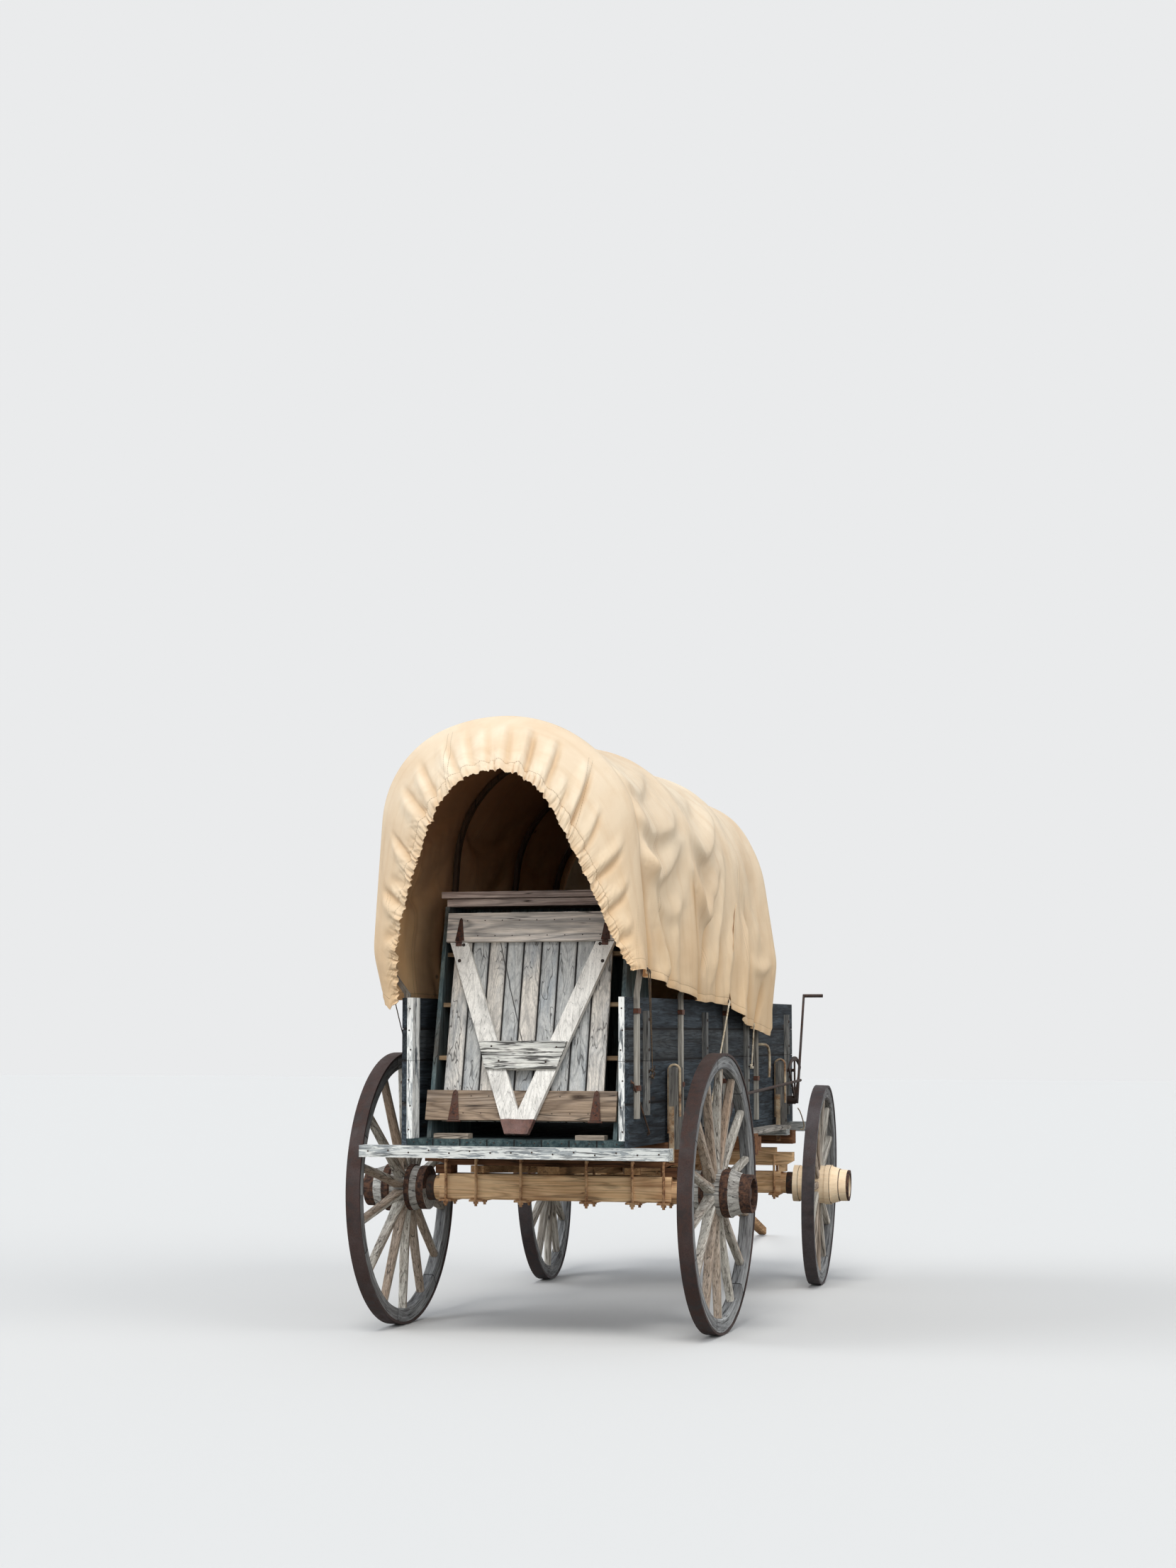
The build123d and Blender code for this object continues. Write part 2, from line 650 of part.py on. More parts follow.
# Stakes and their irons
shoulder_z = floor_low - bolster_shoulder_drop
stakes, irons = [], []
for y in (0.0, wheelbase):
    stakes.append(block(*stake_x, y - bolster_half_depth, y + bolster_half_depth, shoulder_z, stake_top))
    rod_y = y - bolster_half_depth + 3 * stake_rod_radius
    inner_x = stake_x[0] - stake_rod_radius - running_gap
    outer_x = stake_x[1] + stake_rod_radius + running_gap
    span = (outer_x - inner_x) / 2
    bend_z = stake_top + running_gap - span + stake_rod_radius * 2
    up = Line((inner_x, rod_y, stake_rod_foot), (inner_x, rod_y, bend_z))
    over = ThreePointArc(
        (inner_x, rod_y, bend_z), ((inner_x + outer_x) / 2, rod_y, bend_z + span), (outer_x, rod_y, bend_z))
    down = Line((outer_x, rod_y, bend_z), (outer_x, rod_y, stake_rod_foot + stake_hoop_tail))
    hoop = sweep(Plane(origin=up @ 0, z_dir=up % 0) * Circle(stake_rod_radius), path=Wire([up, over, down]))
    stake_rear = y - bolster_half_depth
    strap_x = stake_x[0] + stake_strap_inset
    strap = block(
        strap_x, strap_x + stake_strap[0], stake_rear - stake_strap[1], stake_rear,
        bolster_end_low + stake_strap_rise, stake_strap_top)
    irons += [hoop, strap]
stake_set = []
for stake in stakes:
    cut = stake
    for iron in irons[::2]:
        cut = cut - iron
    stake_set.append(cut)
keep("stakes", *both_sides(*stake_set))
keep("stake_irons", *both_sides(*irons))


# Bows and the cover, from arches whose right and left sides each have a side line, a shoulder and a crown arc

def arch_side(side, crown, inward):
    """One side of an arch as points (x from the crown, z), moved inward: down the crown arc, round the
    shoulder, to the foot of the side line."""
    half_width, lean, crown_radius, shoulder_radius = side
    a = math.radians(lean)
    normal = (math.cos(a), math.sin(a))
    reach_out = normal[0] * half_width + normal[1] * side_level - inward
    big = crown_radius - inward
    small = shoulder_radius - inward
    big_z = crown - crown_radius
    share = (reach_out - small - normal[1] * big_z) / (big - small)
    phi = math.asin(share) - a
    centre = ((big - small) * math.sin(phi), big_z + (big - small) * math.cos(phi))
    middle = (a + math.pi / 2 - phi) / 2
    return [
        (big * math.sin(phi / 2), big_z + big * math.cos(phi / 2)),
        (big * math.sin(phi), big_z + big * math.cos(phi)),
        (centre[0] + small * math.cos(middle), centre[1] + small * math.sin(middle)),
        (centre[0] + small * normal[0], centre[1] + small * normal[1]),
        (half_width - inward * normal[0], side_level - inward * normal[1]),
    ]


def arch_wire(crown_x, crown, sides, inward, place, feet):
    """The whole arch as edges between its two feet, which are given."""
    edges = []
    for sign, side, foot in zip((1, -1), sides, feet):
        points = [(crown_x + sign * x, z) for x, z in arch_side(side, crown, inward)]
        top, arc_mid, arc_end, shoulder_mid, shoulder_end, start = [
            place(p) for p in [(crown_x, crown - inward), *points]]
        edges += [
            ThreePointArc(top, arc_mid, arc_end),
            ThreePointArc(arc_end, shoulder_mid, shoulder_end),
            Line(shoulder_end, start),
            Line(start, place(foot)),
        ]
    return edges


bow_out = cloth_thick + running_gap
bow_outer_x = box_half_width + bow_thick
bow_inner_x = box_half_width + running_gap
bows = []
for y, foot, crown_x, crown, *sides in bow_table:
    def flat(p, y=y):
        return (p[0], y - bow_width / 2, p[1])
    edges = []
    for inward, x in ((bow_out, bow_outer_x), (bow_out + bow_thick, bow_inner_x)):
        bends = [(x, bow_bend_height), (-x, bow_bend_height)]
        edges += arch_wire(crown_x, crown, sides, inward, flat, bends)
        edges += [Line(flat(bend), flat((bend[0], foot))) for bend in bends]
    for sign in (1, -1):
        edges.append(Line(flat((sign * bow_outer_x, foot)), flat((sign * bow_inner_x, foot))))
    bows.append(extrude(make_face(edges), amount=bow_width, dir=(0, 1, 0)))
keep("bows", *bows)

staples = []
staple_half = bow_width / 2 + running_gap
for y, *_ in bow_table:
    for z in staple_heights:
        wall = staple_size[1]
        plate = block(
            box_half_width, bow_outer_x + running_gap + wall,
            y - staple_half - wall, y + staple_half + wall, z, z + staple_size[0])
        slot = block(
            box_half_width - staple_cut_margin, bow_outer_x + running_gap, y - staple_half, y + staple_half,
            z - staple_cut_margin, z + staple_size[0] + staple_cut_margin)
        staples.append(plate - slot)
keep("bow_staples", *both_sides(*staples))


def cover_section(foot_y, crown_y, crown_x, crown, sides, hem):
    """One section of the cloth: a thin arch that may lean back from its foot to its crown."""
    right, left, hem_z = hem
    rise = (crown_y - foot_y) / (crown - hem_z)

    def place(p):
        return (p[0], foot_y + (p[1] - hem_z) * rise, p[1])

    edges = []
    for inward in (0.0, cloth_thick):
        feet = [(right - inward, hem_z), (inward - left, hem_z)]
        edges += arch_wire(crown_x, crown, sides, inward, place, feet)
    for sign, x in ((1, right), (-1, left)):
        edges.append(Line(place((sign * x, hem_z)), place((sign * (x - cloth_thick), hem_z))))
    return make_face(edges)


sections = [cover_section(*rear_mouth[:4], rear_mouth[4:], hem_table[0])]
for (y, _, crown_x, crown, *sides), hem in zip(bow_table, hem_table[1:]):
    for edge in (y - bow_width / 2, y + bow_width / 2):
        sections.append(cover_section(edge, edge, crown_x, crown, sides, hem))
sections.append(cover_section(*front_mouth[:4], front_mouth[4:], hem_table[-1]))
keep("cover", loft(sections, ruled=True))

# Cook's cupboard

lid_tilt = math.degrees(math.atan2(lid_head_y - lid_hinge_y, cupboard_high - lid_hinge_z))
tilt = math.radians(lid_tilt)
lid_depth = lid_batten_thick + lid_board_thick


def lid_back_y(z):
    """Where the inner face of the closed lid stands at a height, with its seat gap."""
    start = lid_hinge_y + (lid_depth + lid_seat_gap) / math.cos(tilt)
    return start + (z - lid_hinge_z) * math.tan(tilt)


side_panel = outline_yz(
    [
        (lid_back_y(floor_high), floor_high), (cupboard_front_y, floor_high),
        (cupboard_front_y, cupboard_high), (lid_back_y(cupboard_high), cupboard_high),
    ], cupboard_half_width - cupboard_board, cupboard_half_width)
inside = cupboard_half_width - cupboard_board
back_wall = block(
    -inside, inside, cupboard_front_y - cupboard_board, cupboard_front_y, cupboard_low, cupboard_high)
bottom_top = cupboard_low + cupboard_board
bottom = outline_yz(
    [
        (lid_back_y(cupboard_low), cupboard_low), (cupboard_front_y - cupboard_board, cupboard_low),
        (cupboard_front_y - cupboard_board, bottom_top), (lid_back_y(bottom_top), bottom_top),
    ], -inside, inside)
carcass = side_panel + mirror(side_panel, about=Plane.YZ) + back_wall + bottom
keep("cupboard", carcass)

shelves = []
shelf_front = cupboard_front_y - cupboard_board
for z in shelf_heights:
    shelf = block(-inside, inside, lid_back_y(z) + shelf_setback, shelf_front, z, z + cupboard_board)
    shelves.append(shelf)
unit = shelves[0] + shelves[1] + shelves[2]
for x in divider_places:
    low, high = divider_range
    unit = unit + outline_yz(
        [
            (lid_back_y(low) + shelf_setback, low), (shelf_front, low), (shelf_front, high),
            (lid_back_y(high) + shelf_setback, high),
        ], x - cupboard_board / 2, x + cupboard_board / 2)
keep("cupboard_shelves", unit)

cap_rear = lid_back_y(cupboard_high)
lower_cap = block(
    -cap_lower[0], cap_lower[0], cap_rear, cupboard_front_y, cupboard_high, cupboard_high + cap_lower[1])
cap_top = cupboard_high + cap_lower[1]
strip_top = cap_top + cap_gap_strip
strip_half = cap_lower[0] - cap_strip_inset
strip = block(-strip_half, strip_half, cap_rear + cap_strip_inset, cupboard_front_y, cap_top, strip_top)
upper_cap = block(
    -cap_upper[0], cap_upper[0], cap_rear - cap_overhang, cupboard_front_y + cap_overhang,
    strip_top, strip_top + cap_upper[1])
keep("cupboard_top", lower_cap + strip + upper_cap)

# Lid and its leg, drawn flat: X across, Y into the cupboard, Z along the lid from its hinge
lid_place = Location((0, lid_hinge_y, lid_hinge_z)) * Rotation(-lid_tilt, 0, 0)
lid_length = (cupboard_high - lid_hinge_z) / math.cos(tilt) - lid_edge_gap


def lid_block(x0, x1, n0, n1, s0, s1):
    """A block on the lid: across, outward from the batten's face, along from the hinge."""
    return lid_place * block(x0, x1, -n1, -n0, s0, s1)


upper_batten_s = lid_length - lid_upper_batten_drop - lid_upper_batten_height
leg_pivot_s = upper_batten_s - leg_pivot_drop
lid_board_step = 2 * cupboard_half_width / lid_board_count
lid_boards = []
for i in range(lid_board_count):
    left = -cupboard_half_width + i * lid_board_step + board_gap / 2
    right = left + lid_board_step - board_gap
    lid_boards.append(lid_block(left, right, -lid_depth, -lid_batten_thick, lid_edge_gap, lid_length))
keep("lid_boards", *lid_boards)
battens = []
for half, low, height in (
        (cupboard_half_width, lid_edge_gap, lid_lower_batten),
        (lid_upper_half_width, upper_batten_s, lid_upper_batten_height)):
    battens.append(lid_block(-half, half, -lid_batten_thick, 0, low, low + height))
keep("lid_battens", *battens)

irons = []
for x in hinge_places:
    wide, long, thick = hinge_strap
    end = wide / hinge_strap_taper
    outline = [(x - wide, 0), (x + wide, 0), (x + end, long), (x - end, long)]
    face = make_face(Polyline(*[(px, -thick, s) for px, s in outline], close=True))
    strap = extrude(face, amount=thick, dir=(0, 1, 0))
    knuckle = rod((x - wide, 0, 0), (x + wide, 0, 0), hinge_knuckle_radius)
    irons.append(lid_place * (strap + knuckle))
leg_pivot_n = leg_thick - lid_batten_thick + lid_seat_gap + leg_knuckle
strap_wide, strap_long, strap_thick = leg_strap
eye_off, eye_half = [strap_wide * share for share in leg_eye_share]
hook_half = strap_wide / 4
for x in (-leg_head_x, leg_head_x):
    pivot = [(px, -leg_pivot_n, leg_pivot_s) for px in (x - hook_half, x + hook_half)]
    strap_end = upper_batten_s + strap_long
    plate = outline_yz(
        [
            (0, upper_batten_s), (0, strap_end), (-strap_thick, strap_end),
            (-strap_thick, upper_batten_s + 2 * leg_knuckle),
            (hook_sink - leg_pivot_n - leg_knuckle, leg_pivot_s + leg_iron_gap),
            (leg_iron_gap - leg_pivot_n, leg_pivot_s + hook_sink),
        ], x - hook_half, x + hook_half)
    irons.append(lid_place * (plate + rod(*pivot, leg_knuckle)))
keep("lid_hinges", *irons)

# The leg leans a little, flat on the boards at its head and over the lower batten at its foot
leg_lean = math.degrees(math.atan2(lid_batten_thick, leg_pivot_s - lid_lower_batten - lid_edge_gap))
leg_place = lid_place * Location((0, -leg_pivot_n, leg_pivot_s)) * Rotation(-leg_lean, 0, 0)
foot_x = leg_foot_half - leg_arm_width / 2


def leg_plate(points):
    """A piece of the leg from (x, s) points, s counted down from the pivot."""
    face = make_face(Polyline(*[(x, leg_knuckle, -s) for x, s in points], close=True))
    return extrude(face, amount=leg_thick, dir=(0, 1, 0))


head_half = leg_arm_width / 2 / math.cos(math.atan2(leg_head_x - foot_x, leg_length))
arm = leg_plate([
    (leg_head_x - head_half, leg_head_gap), (leg_head_x + head_half, leg_head_gap),
    (leg_foot_half, leg_length), (0, leg_length), (0, leg_length - leg_crotch),
])


def arm_x(s):
    """Outer edge of an arm at a distance down from the pivot."""
    share = (s - leg_head_gap) / (leg_length - leg_head_gap)
    return leg_head_x + head_half + (leg_foot_half - leg_head_x - head_half) * share


cross_points = []
for z in leg_cross_height:
    s = leg_pivot_s - (z - lid_hinge_z)
    cross_points.append([(0, s), (arm_x(s) - leg_cross_inset, s)])
half_leg = arm + leg_plate([*cross_points[1], *reversed(cross_points[0])])
whole_leg = half_leg + mirror(half_leg, about=Plane.YZ)
keep("leg", leg_place * whole_leg)

shoe_top = leg_length - leg_shoe_height
shoe_points = [
    (0, shoe_top), (arm_x(shoe_top) + leg_shoe_thick, shoe_top),
    (leg_foot_half + leg_shoe_thick, leg_length), (0, leg_length),
]
shoe_face = make_face(Polyline(*[(x, leg_knuckle - leg_shoe_thick, -s) for x, s in shoe_points], close=True))
shoe = extrude(shoe_face, amount=leg_thick + 2 * leg_shoe_thick, dir=(0, 1, 0))
leg_irons = [shoe + mirror(shoe, about=Plane.YZ) - whole_leg]
strap_face = leg_knuckle - strap_thick
for x in (-leg_head_x, leg_head_x):
    plate = block(
        x - strap_wide / 2, x + strap_wide / 2, strap_face, leg_knuckle,
        -strap_long, -leg_knuckle - leg_iron_gap)
    for centre in (x - eye_off, x + eye_off):
        eye = rod((centre - eye_half, 0, 0), (centre + eye_half, 0, 0), leg_knuckle)
        root = block(
            centre - eye_half, centre + eye_half, strap_face, leg_knuckle, -leg_knuckle - leg_eye_root, 0)
        plate = plate + eye + root
    leg_irons.append(plate)
keep("leg_irons", *[leg_place * s for s in leg_irons])

# Brake on the right side
block_half = brake_block[0] / 2
beam = block(
    -track / 2 - block_half, track / 2 + block_half, brake_beam[0], brake_beam[1],
    floor_low - brake_beam[2], floor_low)
keep("brake_beam", beam)
tread = Location((track / 2, 0, wheel_height("rear"))) * (Rotation(0, 90, 0) * Cylinder(
    wheel_table["rear"][0] / 2 + brake_clear, 4 * brake_block[0]))
shoe_mid = floor_low - brake_beam[2] / 2
rough = block(
    track / 2 - block_half, track / 2 + block_half, 0, brake_beam[0],
    shoe_mid - brake_block[1] / 2, shoe_mid + brake_block[1] / 2)
keep("brake_blocks", *both_sides(rough - tread))

pivot_y, pivot_z = brake_pivot
arc_x0, arc_x1 = brake_arc_x
lever_x0, lever_x1 = brake_lever_x
arc_ring = rod((arc_x0, pivot_y, pivot_z), (arc_x1, pivot_y, pivot_z), brake_arc_radius)
arc_ring = arc_ring - rod(
    (arc_x0, pivot_y, pivot_z), (arc_x1, pivot_y, pivot_z), brake_arc_radius - brake_arc_width)
wedge_top = pivot_z + brake_arc_radius * brake_wedge_reach
spread = math.tan(math.radians(brake_arc_angle)) * brake_arc_radius * brake_wedge_reach
wedge = outline_yz(
    [(pivot_y, pivot_z), (pivot_y + spread, wedge_top), (pivot_y - spread, wedge_top)], arc_x0, arc_x1)
ratchet = arc_ring & wedge
arc_end = math.radians(brake_arc_angle - brake_arc_leg_inset)
leg_reach = brake_arc_radius - brake_arc_width / 2
foot_half, tip_half = [width / 2 for width in brake_arc_leg]
for sign in (-1, 1):
    tip_y = pivot_y + sign * math.sin(arc_end) * leg_reach
    tip_z = pivot_z + math.cos(arc_end) * leg_reach
    ratchet = ratchet + outline_yz(
        [
            (pivot_y - foot_half, pivot_z), (pivot_y + foot_half, pivot_z),
            (tip_y + tip_half, tip_z), (tip_y - tip_half, tip_z),
        ], arc_x0, arc_x1)
boss = rod((box_half_width, pivot_y, pivot_z), (arc_x1, pivot_y, pivot_z), brake_boss_radius)
lug_z = pivot_z + brake_lug[0]
lug = rod((box_half_width, pivot_y, lug_z), (arc_x1, pivot_y, lug_z), brake_lug[1])
strut_half = brake_arc_strut[0] / 2
strut = block(
    arc_x0, arc_x1, pivot_y - strut_half, pivot_y + strut_half, pivot_z, pivot_z + brake_arc_strut[1])
keep("brake_ratchet", ratchet + boss + lug + strut)

lean_y = math.sin(math.radians(brake_lever_tilt))
lean_z = math.cos(math.radians(brake_lever_tilt))
lever_y = pivot_y + lean_y * brake_lever_length
lever_z = pivot_z + lean_z * brake_lever_length
tail_half, head_half = brake_lever_width / 2, brake_lever_head_width / 2
lever = outline_yz(
    [
        (pivot_y - tail_half, pivot_z - brake_lever_tail), (pivot_y + tail_half, pivot_z - brake_lever_tail),
        (lever_y + head_half, lever_z), (lever_y - head_half, lever_z),
    ], lever_x0, lever_x1)
handle = rod((lever_x0, lever_y, lever_z), (lever_x0 + brake_handle[0], lever_y, lever_z), brake_handle[1])
lever_pin = rod((arc_x1, pivot_y, pivot_z), (lever_x1, pivot_y, pivot_z), brake_pin_radius)
keep("brake_lever", lever + handle + lever_pin)

rod_x = lever_x1 + brake_rod_radius
rod_z = pivot_z + brake_rod_rise
rod_y = pivot_y + brake_rod_rise * lean_y / lean_z
main_rod = rod((rod_x, rod_y, rod_z), (rod_x, brake_crank_y, brake_crank_z), brake_rod_radius)
beam_mid = (brake_beam[0] + brake_beam[1]) / 2
foot_half, foot_thick = brake_foot[0] / 2, 2 * brake_foot[1]
crank = rod(
    (rod_x, brake_crank_y, brake_crank_z + brake_crank_head), (rod_x, beam_mid, floor_low + brake_foot[1]),
    brake_crank_radius)
foot_plate = block(
    rod_x - foot_half, rod_x + foot_half, beam_mid - foot_half, beam_mid + foot_half,
    floor_low, floor_low + foot_thick)
keep("brake_rod", main_rod + crank + foot_plate)

# Move all of it so that the middle of its length is at the origin, and write the nodes
boxes = [shape.bounding_box() for shape in nodes.values()]
shift = -(min(box.min.Y for box in boxes) + max(box.max.Y for box in boxes)) / 2
os.makedirs("parts", exist_ok=True)
for name, shape in nodes.items():
    export_step(Location((0, shift, 0)) * shape, f"parts/{name}.step")
print("shift", round(shift, 4), "tongue", round(tongue_angle, 4), "lid", round(lid_tilt, 4))
print("leg lean", round(leg_lean, 4), "leg pivot", round(leg_pivot_n, 4), round(leg_pivot_s, 4))
print("nodes", len(nodes))
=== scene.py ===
import math
from functools import partial

import bpy
import numpy as np
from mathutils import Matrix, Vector


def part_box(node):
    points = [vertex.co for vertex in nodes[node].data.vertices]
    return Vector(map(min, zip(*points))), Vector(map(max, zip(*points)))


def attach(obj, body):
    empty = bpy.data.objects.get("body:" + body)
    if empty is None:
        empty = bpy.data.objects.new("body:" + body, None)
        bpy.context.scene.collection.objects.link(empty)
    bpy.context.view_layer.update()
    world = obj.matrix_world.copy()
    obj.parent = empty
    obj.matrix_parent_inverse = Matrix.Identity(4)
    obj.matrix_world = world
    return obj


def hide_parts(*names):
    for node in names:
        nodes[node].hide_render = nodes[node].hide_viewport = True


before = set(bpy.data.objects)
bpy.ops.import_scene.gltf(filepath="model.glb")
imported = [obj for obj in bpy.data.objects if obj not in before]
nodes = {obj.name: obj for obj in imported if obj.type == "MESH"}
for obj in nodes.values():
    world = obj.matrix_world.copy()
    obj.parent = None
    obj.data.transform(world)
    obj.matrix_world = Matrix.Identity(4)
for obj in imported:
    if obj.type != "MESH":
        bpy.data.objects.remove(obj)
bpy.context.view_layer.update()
axleLow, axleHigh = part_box("rear_axle")
rearY = (axleLow.y + axleHigh.y) / 2  # the rear axle stands here, and places along the wagon count from it
print("frame loaded", len(nodes), "nodes")


# camera at the photograph's place
view = dict(place=(3.6327, -11.7724, 1.429), pitch=5.5901, yaw=16.4601, lens=57.81, clipEnd=200)
cameraData = bpy.data.cameras.new("camera")
cameraData.lens = view["lens"]
cameraData.clip_end = view["clipEnd"]
camera = bpy.data.objects.new("camera", cameraData)
camera.location = (view["place"][0], view["place"][1] + rearY, view["place"][2])
camera.rotation_euler = (math.radians(90 + view["pitch"]), 0, math.radians(view["yaw"]))
bpy.context.scene.collection.objects.link(camera)
bpy.context.scene.camera = camera
bpy.context.scene.view_settings.view_transform = "Standard"


# a screen colour from 0 to 255, made linear
def colour(r, g, b):
    v = np.array([r, g, b]) / 255.0
    v = np.where(v <= 0.04045, v / 12.92, ((v + 0.055) / 1.055) ** 2.4)
    return (float(v[0]), float(v[1]), float(v[2]), 1.0)


# small helpers for shader trees; a socket takes a link from another node or a plain value
def plug(tree, socket, value):
    if isinstance(value, bpy.types.NodeSocket):
        tree.links.new(value, socket)
    else:
        socket.default_value = value


def add(tree, kind, settings=None, **inputs):
    item = tree.nodes.new("ShaderNode" + kind)
    for key, value in (settings or {}).items():
        setattr(item, key, value)
    for key, value in inputs.items():
        plug(tree, item.inputs[key.replace("_", " ")], value)
    return item


def calc(tree, operation, *values):
    item = add(tree, "Math", {"operation": operation})
    for k, value in enumerate(values):
        plug(tree, item.inputs[k], value)
    return item.outputs[0]


def ramp(tree, factor, stops):
    item = add(tree, "ValToRGB")
    elements = item.color_ramp.elements
    while len(elements) < len(stops):
        elements.new(0.5)
    for element, (place, value) in zip(elements, sorted(stops, key=lambda s: s[0])):
        element.position = place
        element.color = value if isinstance(value, tuple) else (value, value, value, 1)
    tree.links.new(factor, item.inputs[0])
    return item.outputs[0]


def mix(tree, factor, a, b, blend="MIX"):
    item = add(tree, "Mix", {"data_type": "RGBA", "blend_type": blend})
    for k, value in ((0, factor), (6, a), (7, b)):
        plug(tree, item.inputs[k], value)
    return item.outputs[2]


def noise(tree, vector, scale, detail=3.0, rough=0.55, twist=0.0):
    return add(tree, "TexNoise", Vector=vector, Scale=scale, Detail=detail, Roughness=rough,
               Distortion=twist).outputs["Fac"]


def join(tree, x, y, z):
    return add(tree, "CombineXYZ", X=x, Y=y, Z=z).outputs[0]


def parted(tree, vector):
    return list(add(tree, "SeparateXYZ", Vector=vector).outputs)


def objectPlace(tree):
    return add(tree, "TexCoord").outputs["Object"]


# the helpers that a material uses most, tied to its tree: three sums, any other sum, mix, ramp, noise and any node
def toolsOf(tree):
    sums = [partial(calc, tree, name) for name in ("MULTIPLY", "ADD", "SUBTRACT")]
    return sums + [partial(helper, tree) for helper in (calc, mix, ramp, noise, add)]


def newMaterial(name, roughness=0.8, metallic=0.0, specular=0.4):
    material = bpy.data.materials.new(name)
    material.use_nodes = True
    shader = material.node_tree.nodes["Principled BSDF"]
    shader.inputs["Roughness"].default_value = roughness
    shader.inputs["Metallic"].default_value = metallic
    shader.inputs["Specular IOR Level"].default_value = specular
    return material, material.node_tree, shader


def finishShader(tree, shader, tint, height, strength=0.4, distance=0.002, rough=None):
    tree.links.new(tint, shader.inputs["Base Color"])
    if rough is not None:
        tree.links.new(rough, shader.inputs["Roughness"])
    bump = add(tree, "Bump", Strength=strength, Distance=distance, Height=height)
    tree.links.new(bump.outputs[0], shader.inputs["Normal"])


# places as across, along and through the grain, in metres, then angle and radius. A wheel's grain runs round its rim,
# out along its spokes or along its axle, so there the space is polar about the wheel's centre
def grainSpace(tree, plan, spot):
    times, plus, minus, work = toolsOf(tree)[:4]
    x, y, z = spot
    if "centre" not in plan:
        return {"x": (z, x, y), "y": (z, y, x), "z": (x, z, y)}[plan["grain"]] + (None, None)
    x, y, z = (minus(value, middle) for value, middle in zip(spot, plan["centre"]))
    radius = work("SQRT", plus(times(y, y), times(z, z)))
    angle = work("ARCTAN2", z, y)
    arc = times(angle, plan["radius"])
    spaces = {"round": (radius, arc, x), "out": (arc, radius, x), "axle": (arc, x, radius)}
    return spaces[plan["grain"]] + (angle, radius)


woodTones = dict(knot=(58, 46, 38), gap=(24, 22, 22), bandDark=(46, 36, 34), bandRust=(92, 66, 52))


